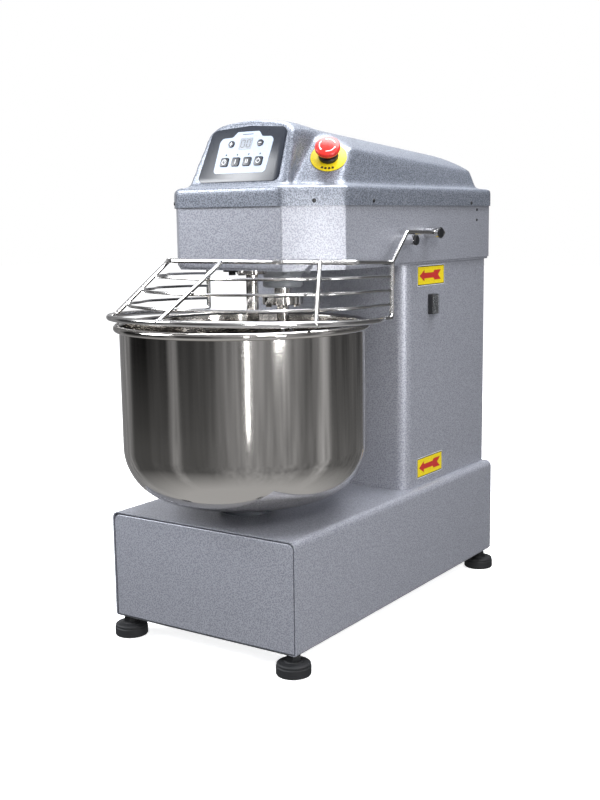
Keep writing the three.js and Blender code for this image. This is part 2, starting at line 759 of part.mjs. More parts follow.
function bowlBody() {
  const { radius, wall, roll, corner } = bowl;
  const cornerZ = bowlBottom + corner;
  const beadR = radius - wall + roll;
  const underBead = -180 + THREE.MathUtils.radToDeg(Math.acos((roll - wall) / roll));
  return turned([
    [0, bowlBottom],
    ...arc(radius - corner, cornerZ, corner, -90, 0, 5),
    ...arc(beadR, rimTop - roll, roll, underBead, 180, 7),
    ...arc(radius - corner, cornerZ, corner - wall, 0, -90, 5),
    [0, bowlBottom + wall],
  ], 36);
}

const bowlGroup = groupAt(machine, 0, bowl.centreY, 0);
const housingTop = baseTop + bowlDrive.plate;
const housingBottom = foot.height + drive.baseLevel - 2 * drive.sprocket;
const shaftBottom = foot.height + drive.bowlLevel - drive.sprocket;

// The hub that the bowl bolts to and the shaft below it, turned as one piece.
function bowlShaft() {
  const { shaft, hub, hubGap } = bowlDrive;
  return turned([
    [0, shaftBottom],
    [shaft, shaftBottom],
    [shaft, housingTop + hubGap],
    [hub, housingTop + hubGap],
    [hub, bowlBottom - GAP],
    [0, bowlBottom - GAP],
  ], 36);
}

function bowlBearing() {
  const { shaft, housing, flange } = bowlDrive;
  const bore = boreFor(shaft, 36);
  return turned([
    [bore, housingBottom],
    [housing, housingBottom],
    [housing, baseTop + GAP],
    [flange, baseTop + GAP],
    [flange, housingTop],
    [bore, housingTop],
    [bore, housingBottom],
  ], 36);
}

add(bowlGroup, "bowl", bowlBody(), stainless);
add(bowlGroup, "bowl_shaft", bowlShaft(), steel);
add(bowlGroup, "bowl_bearing_housing", bowlBearing(), castIron);
const bowlSprocket = add(bowlGroup, "bowl_sprocket", sprocket(teeth.bowl, bowlDrive.shaft + GAP), steel);
bowlSprocket.position.z = foot.height + drive.bowlLevel;

// ---------------------------------------------------------------- intermediate drive in the base
// The small and the large sprocket of the idler are one piece with the sleeve between them.
function idlerCluster() {
  const bore = boreFor(idler.post, 32);
  const low = sprocket(teeth.idlerOut, bore).translate(0, 0, foot.height + drive.bowlLevel);
  const high = sprocket(teeth.idlerIn, bore).translate(0, 0, foot.height + drive.baseLevel);
  const z0 = foot.height + drive.bowlLevel + drive.sprocket / 2;
  const z1 = foot.height + drive.baseLevel + drive.sprocket / 2;
  const sleeve = prism(circle(idler.washer, 32), z0, z1, [circle(bore, 32)]);
  return join(sleeve, low, high);
}

const driveGroup = groupAt(machine, 0, 0, 0);
const idlerMesh = add(driveGroup, "idler_sprockets", idlerCluster(), steel);
idlerMesh.position.y = idlerY;
const bowlLevel = foot.height + drive.bowlLevel;
const baseLevel = foot.height + drive.baseLevel;
const bowlChain = chain(bowl.centreY, teeth.bowl, idlerY, teeth.idlerOut, bowlLevel);
const baseChain = chain(idlerY, teeth.idlerIn, jackY, teeth.base, baseLevel);
add(driveGroup, "bowl_chain", bowlChain, steel);
add(driveGroup, "base_chain", baseChain, steel);

// ---------------------------------------------------------------- vertical drive in the column
const jackGroup = groupAt(driveGroup, 0, jackY, 0);
const headLevel = headBottom + drive.headLevel;
const beltLevel = headBottom + belt.level;
const bracketLow = baseTop + 3 * SHEET;
const bracketHigh = trayBottom - 4 * SHEET;

// A plate with a bearing boss at each end, bolted up inside the column.
function jackBracket() {
  const { boss, bossHeight, plate, overlap } = drive.bracket;
  const bore = drum(boreFor(drive.shaft, 32), bracketLow - CUT, bracketHigh + CUT, 32);
  const front = boss - overlap;
  const back = block(-2 * boss, 2 * boss, front, front + plate, bracketLow, bracketHigh);
  const low = drum(boss, bracketLow, bracketLow + bossHeight);
  const high = drum(boss, bracketHigh - bossHeight, bracketHigh);
  return cut(join(back, low, high), bore);
}

function jackShaft() {
  return drum(drive.shaft, baseLevel - drive.sprocket, beltLevel + belt.width + drive.sprocket, 32);
}

// A pulley with one trapezoid groove, as wide as the belt plus its clearance.
function pulley(radius, boreRadius, z) {
  const wall = 5;
  const floor = radius - belt.depth;
  return turned([
    [boreRadius, z - wall],
    [radius, z - wall],
    [radius, z - GAP],
    [floor, z - GAP],
    [floor, z + belt.width + GAP],
    [radius, z + belt.width + GAP],
    [radius, z + belt.width + wall],
    [boreRadius, z + belt.width + wall],
    [boreRadius, z - wall],
  ], 28);
}

const motorTop = trayBottom - GAP;

// The motor hangs below the tray on its own flange; fins run down its body.
function motorBody() {
  const { radius, length, fins, fin, shaft, fanCover, flange, seat } = motor;
  const z0 = motorTop - length;
  const section = Array.from({ length: 4 * fins }, (_, i) => {
    const angle = (2 * Math.PI * i) / (4 * fins);
    const reach = i % 4 < 2 ? radius : radius - fin;
    return new THREE.Vector2(reach * Math.cos(angle), reach * Math.sin(angle));
  });
  const body = prism(section, z0 + fanCover, motorTop - flange);
  const cover = drum(radius - fin / 2, z0, z0 + fanCover + CUT, 20);
  const mount = drum(radius + fin / 2, motorTop - flange - CUT, motorTop, 20);
  const bore = drum(boreFor(shaft, 24), motorTop - seat, motorTop + CUT, 24);
  return cut(join(body, cover, mount), bore);
}

// The driven pulley at the top of the motor, with the rotor's shaft end as one piece.
function motorPulley() {
  const sheave = pulley(belt.motorRadius, 0, beltLevel);
  const shaftEnd = drum(motor.shaft, motorTop - motor.seat + 2, beltLevel, 24);
  return join(sheave, shaftEnd);
}

const jackBore = drive.shaft + GAP;
add(jackGroup, "jackshaft", jackShaft(), steel);
add(jackGroup, "jackshaft_bracket", jackBracket(), castIron);
add(jackGroup, "jackshaft_pulley", pulley(belt.bigRadius, jackBore, beltLevel), castIron);
const upperSprocket = add(jackGroup, "jackshaft_upper_sprocket", sprocket(teeth.head, jackBore), steel);
upperSprocket.position.z = headLevel;
const lowerSprocket = add(jackGroup, "jackshaft_lower_sprocket", sprocket(teeth.base, jackBore), steel);
lowerSprocket.position.z = baseLevel;

const motorGroup = groupAt(driveGroup, 0, motorY, 0);
add(motorGroup, "motor", motorBody(), castIron);
add(motorGroup, "motor_pulley", motorPulley(), steel);
const beltInner = belt.depth - 2 * GAP;
const beltBand = loopBand(
  jackY,
  belt.bigRadius - beltInner,
  motorY,
  belt.motorRadius - beltInner,
  belt.depth - 2 * GAP,
  beltLevel + GAP,
  beltLevel + belt.width - GAP,
);
add(driveGroup, "drive_belt", beltBand, rubber);
add(driveGroup, "head_chain", chain(spiralY, teeth.spiral, jackY, teeth.head, headLevel), steel);

// ---------------------------------------------------------------- spiral hook and breaker bar
const spiralGroup = groupAt(machine, 0, spiralY, 0);
const { housing } = spiral;
const housingLow = trayBottom - housing.drop;

function spiralBearing() {
  const bore = boreFor(spiral.shaft, 32);
  return turned([
    [bore, housingLow],
    [housing.radius, housingLow],
    [housing.radius, trayBottom + SHEET + GAP],
    [housing.flange, trayBottom + SHEET + GAP],
    [housing.flange, trayBottom + SHEET + GAP + housing.thickness],
    [housing.radius - 5, trayBottom + SHEET + GAP + housing.thickness],
    [housing.radius - 5, trayBottom + SHEET + housing.rise],
    [bore, trayBottom + SHEET + housing.rise],
    [bore, housingLow],
  ], 32);
}

const flangeTop = housingLow - GAP;
const flangeBottom = flangeTop - spiral.flange.thickness;
const hookBottom = bowlBottom + bowl.wall + spiral.floorGap + spiral.bar;

// The hook's centre line: a shank on the axis, then a helix that opens out and closes again near the floor.
function hookRoute() {
  const { sweep, bar, turns, shank } = spiral;
  const full = sweep - bar;
  const points = [flangeBottom + CUT, flangeBottom - shank / 2].map((z) => new THREE.Vector3(0, 0, z));
  const steps = 32;
  const top = flangeBottom - shank;
  for (let i = 1; i <= steps; i++) {
    const share = i / steps;
    const angle = -2 * Math.PI * turns * share;
    const opening = Math.sin((Math.min(1, share / spiral.opening) * Math.PI) / 2);
    const closing = Math.sin((Math.min(1, (1 - share) / spiral.closing) * Math.PI) / 2);
    const reach = full * opening * (spiral.tip + (1 - spiral.tip) * closing);
    const z = top + (hookBottom - top) * share;
    points.push(new THREE.Vector3(reach * Math.cos(angle), reach * Math.sin(angle), z));
  }
  return points;
}

function spiralHook() {
  const shaft = drum(spiral.shaft, flangeTop - CUT, headLevel + drive.sprocket + 4, 32);
  const flange = drum(spiral.flange.radius, flangeBottom, flangeTop, 28);
  return join(shaft, flange, rod(hookRoute(), spiral.bar, 8));
}

function breakerBar() {
  const z0 = bowlBottom + bowl.wall + breaker.floorGap;
  const top = trayBottom - GAP;
  const { radius, flange, thickness } = breaker;
  return turned([
    [0, z0],
    [0.6 * radius, z0],
    [radius, z0 + 0.5 * radius],
    [radius, top - thickness],
    [flange, top - thickness],
    [flange, top],
    [0, top],
  ], 20);
}

add(spiralGroup, "spiral_bearing_housing", spiralBearing(), castIron);
add(spiralGroup, "spiral_hook", spiralHook(), stainless);
const spiralSprocket = add(spiralGroup, "spiral_sprocket", sprocket(teeth.spiral, spiral.shaft + GAP), steel);
spiralSprocket.position.z = headLevel;
const breakerMesh = add(machine, "breaker_bar", breakerBar(), stainless);
breakerMesh.position.y = breakerY;

// ---------------------------------------------------------------- wire guard
const guardGroup = groupAt(machine, 0, 0, 0);
const slope = Math.tan(rad(guard.tilt));
const ringY = bowl.centreY + guard.ringForward;
const ringRadius = rimRadius + guard.ringGrow;
const ringLevel = rimTop + guard.ringRise;
const barY = columnFront - guard.frame.back;
const barX = headSide + guard.frame.side;
const frameLevel = headBottom + guard.frame.rise;
const frameFrontY = head.frontY - guard.frame.gap;

// The whole guard leans a little up towards the front.
function onRing(angle, radius = ringRadius) {
  const y = ringY + radius * Math.sin(angle);
  return new THREE.Vector3(radius * Math.cos(angle), y, ringLevel + (ringY - y) * slope);
}

function onFrame(x, y) {
  return new THREE.Vector3(x, y, frameLevel + (barY - y) * slope);
}

// The bent outline of the top frame: up one side, along the chamfer and across the front.
const frameOut = Math.hypot(1, chamferSlope) - chamferSlope;
const frameCornerX = head.frontWidth / 2 + guard.frame.gap * frameOut;
const frameSideY = frameFrontY + (barX - frameCornerX) * chamferSlope;
const ribTop = onFrame(
  frameCornerX + guard.rib.share * (barX - frameCornerX),
  frameFrontY + guard.rib.share * (frameSideY - frameFrontY),
);
const ribFoot = onRing(-rad(guard.rib.angle));
const ringEnd = Math.asin((barY - guard.ringEnd - ringY) / ringRadius);

function mirrored(point, side) {
  return new THREE.Vector3(side * point.x, point.y, point.z);
}

// From the stub behind the pivot, down the arm and the side bar, to the end of the ring.
function sideRod(side) {
  const { arm } = guard;
  const fall = Math.tan(rad(arm.slope));
  const footPoint = onRing(ringEnd);
  const barFoot = new THREE.Vector3(barX, barY, ringLevel + (ringY - barY) * slope);
  const apart = footPoint.clone().sub(barFoot);
  footPoint.copy(barFoot).addScaledVector(apart, 1 - (guard.ring + CUT) / apart.length());
  const points = [
    new THREE.Vector3(barX, pivotY + arm.stub, pivotZ - arm.stub * fall),
    new THREE.Vector3(barX, pivotY - arm.elbow, pivotZ + arm.elbow * fall),
    new THREE.Vector3(barX, barY, frameLevel),
    barFoot,
    footPoint,
  ].map((point) => mirrored(point, side));
  return rod(bent(points, guard.arm.bend), guard.rod);
}

function topFrame() {
  const half = [onFrame(barX, barY), onFrame(barX, frameSideY), onFrame(frameCornerX, frameFrontY)];
  const points = [...half, ...half.map((point) => mirrored(point, -1)).reverse()];
  return join(rod(bent(points, guard.frame.bend), guard.rod), sideRod(-1), sideRod(1));
}

function ring() {
  const steps = 36;
  const sweep = Math.PI + 2 * ringEnd;
  const points = Array.from({ length: steps + 1 }, (_, i) => onRing(ringEnd - (sweep * i) / steps));
  return rod(points, guard.ring);
}

// A straight rib, shortened at both ends so that it meets the frame and the ring without touching.
function rib(top, low) {
  const direction = low.clone().sub(top).normalize();
  const start = top.clone().addScaledVector(direction, 1.5 * guard.rod);
  const end = low.clone().addScaledVector(direction, -1.5 * guard.ring);
  return rod([start, end], guard.rod, 8);
}

// A horizontal wire part of the way down, inside the ribs, from one side bar to the other.
function wire(share) {
  const inward = guard.rod + guard.wire + guard.wireGap;
  const centre = new THREE.Vector3(0, ringY, 0);
  const between = (high, low) => {
    const fall = low.clone().sub(high).normalize();
    const point = high.clone().lerp(low, share);
    const pull = centre.clone().sub(point).setZ(0).normalize();
    pull.addScaledVector(fall, -pull.dot(fall)).normalize();
    return point.addScaledVector(pull, inward);
  };
  const half = [];
  const barPoint = new THREE.Vector3(barX, barY, 0);
  const barFootLevel = ringLevel + (ringY - barY) * slope;
  barPoint.z = frameLevel + (barFootLevel - frameLevel) * share;
  barPoint.y -= guard.rod + guard.wire;
  half.push(barPoint);
  const legs = 5;
  for (let i = 1; i <= legs; i++) {
    const high = onFrame(barX, barY).lerp(ribTop, i / legs);
    high.x = Math.max(high.x, onFrame(barX, 0).x - Math.max(0, frameSideY + 20 - high.y));
    const low = onRing(ringEnd + ((-rad(guard.rib.angle) - ringEnd) * i) / legs);
    half.push(between(i === legs ? ribTop : high, low));
  }
  for (let i = 1; i <= legs; i++) {
    const turn = -rad(guard.rib.angle) + ((-Math.PI / 2 + rad(guard.rib.angle)) * i) / legs;
    const x = ribTop.x * (1 - i / legs);
    const y = x > frameCornerX ? frameFrontY + (x - frameCornerX) * chamferSlope : frameFrontY;
    half.push(between(onFrame(x, y), onRing(turn)));
  }
  const points = [...half, ...half.slice(0, -1).map((point) => mirrored(point, -1)).reverse()];
  return rod(points, guard.wire, 6);
}

// The stub that turns in the head's side and clamps the arm.
function guardPivot() {
  const { radius, reach, shaft, inside } = guard.pivot;
  const boss = pin(radius, headSide + GAP, headSide + reach, pivotY, pivotZ);
  const stub = pin(shaft, headSide - inside, headSide + CUT, pivotY, pivotZ);
  const fall = Math.tan(rad(guard.arm.slope));
  const hole = rod([
    new THREE.Vector3(barX, pivotY + 2 * radius, pivotZ - 2 * radius * fall),
    new THREE.Vector3(barX, pivotY - 2 * radius, pivotZ + 2 * radius * fall),
  ], guard.rod + GAP);
  return cut(join(boss, stub), hole);
}

// The fixed pin that the arm rests on when the guard is down.
function guardStop() {
  const y = columnFront - guard.stop.back;
  const armZ = pivotZ + (pivotY - y) * Math.tan(rad(guard.arm.slope));
  const z = armZ - guard.rod - guard.stop.radius - 2 * GAP;
  return pin(guard.stop.radius, headSide + GAP, headSide + guard.stop.reach, y, z);
}

add(guardGroup, "guard_frame", topFrame(), chromed);
add(guardGroup, "guard_ring", ring(), chromed);
add(guardGroup, "guard_rib_right", rib(ribTop, ribFoot), chromed);
add(guardGroup, "guard_rib_left", rib(mirrored(ribTop, -1), mirrored(ribFoot, -1)), chromed);
add(guardGroup, "guard_rib_middle", rib(onFrame(0, frameFrontY), onRing(-Math.PI / 2)), chromed);
for (let i = 1; i <= guard.wires; i++) {
  add(guardGroup, "guard_wire_" + i, wire(i / (guard.wires + 1)), chromed);
}
add(guardGroup, "guard_pivot_right", guardPivot(), chromed);
add(guardGroup, "guard_pivot_left", guardPivot(), chromed).scale.x = -1;
add(headGroup, "guard_stop_right", guardStop(), chromed);
add(headGroup, "guard_stop_left", guardStop(), chromed).scale.x = -1;

// ---------------------------------------------------------------- origin at the middle of the footprint
const frontMost = ringY - ringRadius - guard.ring;
const rearMost = headRear + hood.proud;
machine.position.y = -(frontMost + rearMost) / 2;
const doughMixer = new THREE.Group();
doughMixer.add(machine);

export default doughMixer;
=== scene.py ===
import json
import math

import bmesh
import bpy
from mathutils import Matrix, Vector


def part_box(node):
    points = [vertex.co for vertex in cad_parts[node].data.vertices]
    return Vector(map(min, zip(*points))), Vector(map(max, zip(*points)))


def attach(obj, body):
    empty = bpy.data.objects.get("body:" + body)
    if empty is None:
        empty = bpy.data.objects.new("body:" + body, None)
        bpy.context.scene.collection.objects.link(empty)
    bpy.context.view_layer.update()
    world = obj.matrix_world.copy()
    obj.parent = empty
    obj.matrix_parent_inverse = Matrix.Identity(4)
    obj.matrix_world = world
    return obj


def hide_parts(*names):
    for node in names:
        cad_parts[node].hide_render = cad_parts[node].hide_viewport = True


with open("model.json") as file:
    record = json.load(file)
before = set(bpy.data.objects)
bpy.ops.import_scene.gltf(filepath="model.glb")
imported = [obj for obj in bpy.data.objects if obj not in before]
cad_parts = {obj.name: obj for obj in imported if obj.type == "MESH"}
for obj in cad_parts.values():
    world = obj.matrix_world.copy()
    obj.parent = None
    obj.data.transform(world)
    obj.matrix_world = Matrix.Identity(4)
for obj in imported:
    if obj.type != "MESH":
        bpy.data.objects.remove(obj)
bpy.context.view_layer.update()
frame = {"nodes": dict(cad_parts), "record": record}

# Shapes are made in millimetres in the machine's own frame, and finished pieces are scaled to metres.
MM = 0.001
# Sheet metal's thickness, and the room between pieces that only touch.
SHEET = 2.0
GAP = 0.3
SIDES = (("right", 1), ("left", -1))


def place(node):
    """The lowest and highest corner of a CAD node, in millimetres."""
    low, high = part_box(node)
    return low / MM, high / MM


# ---------------------------------------------------------------- places, from the CAD nodes
base_low, base_high = place("base_shell")
column_low, column_high = place("column_shell")
head_low, head_high = place("head_shell")
bowl_low, bowl_high = place("bowl")
base_top = base_high.z
head_side = head_high.x
head_front = head_low.y
head_bottom = head_low.z
column_front = column_low.y
bowl_y = (bowl_low.y + bowl_high.y) / 2
rim_top = bowl_high.z
rim_radius = bowl_high.x
skirt_bottom = place("hood")[0].z


# ---------------------------------------------------------------- materials
def srgb(code):
    """A six-digit hex colour as linear red, green, blue and alpha."""
    parts = [int(code[i : i + 2], 16) / 255 for i in (1, 3, 5)]
    return [p / 12.92 if p <= 0.04045 else ((p + 0.055) / 1.055) ** 2.4 for p in parts] + [1]


def fill(tree, node, inputs):
    """Gives each input of a node, by name or number, a plain value or a link from another node's output."""
    for name, source in inputs.items():
        if isinstance(source, bpy.types.NodeSocket):
            tree.links.new(source, node.inputs[name])
        else:
            node.inputs[name].default_value = source


def add(tree, kind, inputs=None, stops=(), **properties):
    """A node with its properties, its inputs and its colour stops set."""
    made = tree.nodes.new(kind)
    for name, value in properties.items():
        setattr(made, name, value)
    fill(tree, made, inputs or {})
    if stops:
        band = made.color_ramp
        while len(band.elements) < len(stops):
            band.elements.new(0.5)
        for element, (position, colour) in zip(band.elements, stops):
            element.position = position
            element.color = colour
    return made


def blank(name, values):
    """A material with one Principled shader, whose plain values are set on its own sockets."""
    material = bpy.data.materials.new(name)
    material.use_nodes = True
    tree = material.node_tree
    shader = tree.nodes["Principled BSDF"]
    fill(tree, shader, values)
    return material, tree, shader


def on_object(tree, stretch=(1, 1, 1)):
    """Object coordinates in millimetres, stretched along each axis."""
    where = add(tree, "ShaderNodeTexCoord").outputs["Object"]
    scale = [s / MM for s in stretch]
    return add(tree, "ShaderNodeMapping", {"Vector": where, "Scale": scale}).outputs["Vector"]


def textured(tree, shader, pattern, gloss, relief, raised=None):
    """Lets a pattern vary the roughness and raise the surface a little.

    gloss is the pattern's low and high value and the roughness at each.
    relief is a strength and a depth in mm.
    """
    low, high, smooth, rough = gloss
    strength, depth = relief
    shine = add(tree, "ShaderNodeMapRange", {
        "Value": pattern, "From Min": low, "From Max": high, "To Min": smooth, "To Max": rough,
    })
    height = pattern if raised is None else raised
    dents = add(tree, "ShaderNodeBump", {"Height": height, "Strength": strength, "Distance": depth * MM})
    fill(tree, shader, {"Roughness": shine.outputs[0], "Normal": dents.outputs["Normal"]})


# A dimple's width in mm, and how much of the mottling comes from the flake.
DIMPLE = 2.2
FLAKE_SHARE = 0.9


def hammertone(name, rough, stops):
    """Hammer-finish enamel: stoved paint that dries into small shining dimples with aluminium flake in it.
    It gives a mottled grey, brighter where a dimple faces the light."""
    material, tree, shader = blank(name, {"Metallic": 0.35, "Coat Weight": 0.25, "Coat Roughness": 0.25})
    where = on_object(tree)
    dimples = add(tree, "ShaderNodeTexVoronoi", {
        "Vector": where, "Scale": 1 / DIMPLE, "Smoothness": 0.6,
    }, feature="SMOOTH_F1").outputs["Distance"]
    flake = add(tree, "ShaderNodeTexNoise", {
        "Vector": where, "Scale": 1.6 / DIMPLE, "Detail": 4.0, "Roughness": 0.75,
    }).outputs["Fac"]
    mottle = add(tree, "ShaderNodeMath", {
        0: flake, 1: FLAKE_SHARE, 2: dimples,
    }, operation="MULTIPLY_ADD").outputs[0]
    tones = [(position, srgb(code)) for position, code in stops]
    tone = add(tree, "ShaderNodeValToRGB", {"Fac": mottle}, tones)
    fill(tree, shader, {"Base Color": tone.outputs["Color"]})
    textured(tree, shader, flake, (0.3, 0.7, rough - 0.1, rough + 0.12), (0.35, 0.6), mottle)
    return material


def metal(name, colour, rough, spread, stretch, depth):
    """Bare metal, whose fine marks break up the gloss. stretch is one over the marks' size in mm, by axis."""
    material, tree, shader = blank(name, {"Metallic": 1.0, "Base Color": srgb(colour)})
    marks = add(tree, "ShaderNodeTexNoise", {
        "Vector": on_object(tree, stretch), "Scale": 1.0, "Detail": 5.0, "Roughness": 0.6,
    }).outputs["Fac"]
    textured(tree, shader, marks, (0.25, 0.75, rough - spread, rough + spread), (0.3, depth))
    return material


def paint(name, colour, rough, grain, depth, metallic=0.0):
    """A moulded, printed or painted surface of one colour, whose fine texture softens its highlights.
    grain is the texture's size and depth its height, both in mm."""
    material, tree, shader = blank(name, {"Metallic": metallic})
    texture = add(tree, "ShaderNodeTexNoise", {
        "Vector": on_object(tree), "Scale": 1 / grain, "Detail": 3.0,
    }).outputs["Fac"]
    darker = "#" + "".join(f"{round(int(colour[i : i + 2], 16) * 0.9):02x}" for i in (1, 3, 5))
    tone = add(tree, "ShaderNodeValToRGB", {"Fac": texture}, [(0.3, srgb(darker)), (0.7, srgb(colour))])
    fill(tree, shader, {"Base Color": tone.outputs["Color"]})
    textured(tree, shader, texture, (0, 1, rough - 0.06, rough + 0.06), (0.25, depth))
    return material


def turned_stainless(name):
    """Spun stainless sheet polished to a mirror.
    It gives tall soft bands of light, drawn out a little along its turned marks."""
    material, tree, shader = blank(name, {"Metallic": 1.0, "Base Color": srgb("#c6c3bf")})
    marks = add(tree, "ShaderNodeTexNoise", {
        "Vector": on_object(tree, (0.02, 0.02, 0.9)), "Scale": 1.0, "Detail": 6.0, "Roughness": 0.65,
    }).outputs["Fac"]
    textured(tree, shader, marks, (0.3, 0.7, 0.07, 0.12), (0.12, 0.012))
    return material


finishes = {
    # Light grey hammer-finish enamel over folded steel: the mottled panels of the machine.
    "grey_hammertone": hammertone(
        "grey_hammertone", 0.4, [(0.3, "#7b7d86"), (0.6, "#878992"), (0.85, "#92949e"), (1.0, "#aaacb5")]
    ),
    # Dark grey hammer-finish enamel: the hood, with a stronger sparkle than the panels.
    "dark_hammertone": hammertone(
        "dark_hammertone", 0.36, [(0.3, "#474c56"), (0.6, "#555a65"), (0.85, "#656b76"), (1.0, "#8b909b")]
    ),
    # Polished stainless sheet and bar: a mirror with dark and bright bands.
    "polished_stainless": turned_stainless("polished_stainless"),
    # Electropolished stainless wire: bright, with the soft edges that polishing leaves.
    "stainless_wire": metal("stainless_wire", "#d2d1d0", 0.16, 0.05, (0.3, 0.3, 0.3), 0.02),
    # Turned and milled steel: grey, with visible tool marks.
    "machined_steel": metal("machined_steel", "#8f9296", 0.36, 0.1, (0.6, 0.6, 0.6), 0.03),
    # Painted grey cast iron: dull and slightly rough from the sand mould.
    "grey_cast_iron": paint("grey_cast_iron", "#4f5359", 0.6, 2.5, 0.25, metallic=0.2),
    # Smooth grey stoved enamel: a plain satin grey.
    "grey_enamel": paint("grey_enamel", "#a9adb3", 0.35, 3.0, 0.04),
    # Moulded rubber: near black and dull.
    "black_rubber": paint("black_rubber", "#1b1c1f", 0.68, 1.5, 0.08),
    # Moulded ABS: black with a fine satin texture.
    "black_plastic": paint("black_plastic", "#191a1d", 0.4, 0.9, 0.03),
    # Printed polyester film: dark blue, smooth and a little glossy.
    "panel_film": paint("panel_film", "#181f2b", 0.3, 3.0, 0.01),
    # Domed membrane keys: near-black printed film.
    "key_film": paint("key_film", "#1a1f28", 0.34, 2.0, 0.01),
    # Printed yellow plate and labels: saturated yellow under a satin laminate.
    "yellow_plate": paint("yellow_plate", "#efd512", 0.4, 3.0, 0.01),
    # Glossy moulded red plastic: a saturated red with a soft highlight on its crown.
    "red_plastic": paint("red_plastic", "#dd2b23", 0.3, 2.0, 0.01),
    # Clear flexible PVC: the switch shows through it.
    "clear_plastic": blank("clear_plastic", {
        "Base Color": srgb("#e6eaee"), "Roughness": 0.2, "IOR": 1.5,
        "Transmission Weight": 0.9, "Alpha": 0.35,
    })[0],
}
# Printing inks and moulded details that share a slot with the piece that carries them.
inks = {
    # Screen-printed film: a pale cool blue ground for the keys.
    "keypad": paint("pale_blue_film", "#acbad1", 0.35, 3.0, 0.01),
    # Screen-printing inks: flat satin white, red and black.
    "white": paint("white_ink", "#e9ebee", 0.4, 2.0, 0.01),
    "red": paint("red_ink", "#c32f2a", 0.4, 2.0, 0.01),
    "black": paint("black_ink", "#17181a", 0.45, 2.0, 0.01),
    # Tinted clear film over the display: a glossy mid grey.
    "display": paint("grey_display_window", "#8b929c", 0.2, 3.0, 0.01),
    # Unlit lamp lens: small dark glossy domes.
    "lamp": paint("lamp_lens", "#3d424c", 0.25, 2.0, 0.01),
}


# ---------------------------------------------------------------- shape helpers
def new_piece(name, bm, body, slot, replaces=(), ink=None):
    """Turns a bmesh in millimetres into a finished piece, with its faces turned outwards first."""
    bmesh.ops.recalc_face_normals(bm, faces=bm.faces)
    finished(name, bm, body, slot, replaces, ink)


def finished(name, bm, body, slot, replaces=(), ink=None, sharp=32):
    """The piece itself, in metres: its mesh and finish, its body, and the CAD nodes that it replaces."""
    bmesh.ops.scale(bm, vec=(MM, MM, MM), verts=bm.verts)
    mesh = bpy.data.meshes.new(name)
    bm.to_mesh(mesh)
    bm.free()
    mesh.shade_smooth()
    mesh.set_sharp_from_angle(angle=math.radians(sharp))
    piece = bpy.data.objects.new(name, mesh)
    bpy.context.scene.collection.objects.link(piece)
    mesh.materials.append(inks[ink] if ink else finishes[slot])
    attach(piece, body)
    if replaces:
        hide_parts(*replaces)


def arc(centre, radius, start, end, steps):
    """Points of an arc in a plane, between two angles in degrees."""
    turns = [math.radians(start + (end - start) * i / steps) for i in range(steps + 1)]
    return [(centre[0] + radius * math.cos(t), centre[1] + radius * math.sin(t)) for t in turns]


def rounded(points, radius, steps=5):
    """A closed outline with each corner replaced by an arc; radius is one number or one for each corner."""
    made = []
    count = len(points)
    for i, corner in enumerate(points):
        r = radius[i] if isinstance(radius, (list, tuple)) else radius
        here = Vector(corner)
        before = (Vector(points[i - 1]) - here).normalized()
        after = (Vector(points[(i + 1) % count]) - here).normalized()
        half = before.angle(after) / 2
        if r <= 0 or half > math.radians(89):
            made.append(tuple(here))
            continue
        centre = here + (before + after).normalized() * r / math.sin(half)
        start = here + before * r / math.tan(half) - centre
        end = here + after * r / math.tan(half) - centre
        sweep = start.angle_signed(end)
        for k in range(steps + 1):
            turn = Matrix.Rotation(-sweep * k / steps, 2)
            made.append(tuple(centre + turn @ start))
    return made


def rectangle(x0, x1, y0, y1, radius, steps=5):
    """A rectangle's outline with rounded corners."""
    return rounded([(x0, y0), (x1, y0), (x1, y1), (x0, y1)], radius, steps)


def both_sides(half):
    """A symmetric outline from the points of its right half."""
    return half + [(-x, y) for x, y in reversed(half)]


def circle(radius, sides):
    """The outline of a circle or a regular polygon about the origin."""
    turns = [2 * math.pi * i / sides for i in range(sides)]
    return [(radius * math.cos(t), radius * math.sin(t)) for t in turns]


def prism(outline, z0, z1, bevel=0.0, segments=2):
    """A closed outline in the XY plane raised from z0 to z1, with its top edge rounded."""
    bm = bmesh.new()
    face = bm.faces.new([bm.verts.new((x, y, z0)) for x, y in outline])
    raised = bmesh.ops.extrude_face_region(bm, geom=[face], use_keep_orig=True)["geom"]
    top = [g for g in raised if isinstance(g, bmesh.types.BMVert)]
    bmesh.ops.translate(bm, vec=(0, 0, z1 - z0), verts=top)
    bmesh.ops.recalc_face_normals(bm, faces=bm.faces)
    if bevel:
        rim = [e for e in bm.edges if all(abs(v.co.z - z1) < 1e-4 for v in e.verts)]
        round_off(bm, rim, bevel, segments)
    return bm


def round_off(bm, edges, width, segments):
    """Rounds the given edges."""
    bmesh.ops.bevel(
        bm, geom=list(edges), offset=width, offset_type="OFFSET", affect="EDGES", segments=segments,
        profile=0.5, material=-1, clamp_overlap=True,
    )


def block(x0, x1, y0, y1, z0, z1, bevel=0.0, segments=2):
    """A box between two corners, with its edges rounded."""
    bm = bmesh.new()
    bmesh.ops.create_cube(bm, size=1)
    bmesh.ops.scale(bm, vec=(x1 - x0, y1 - y0, z1 - z0), verts=bm.verts)
    bmesh.ops.translate(bm, vec=((x0 + x1) / 2, (y0 + y1) / 2, (z0 + z1) / 2), verts=bm.verts)
    if bevel:
        round_off(bm, bm.edges, bevel, segments)
    return bm


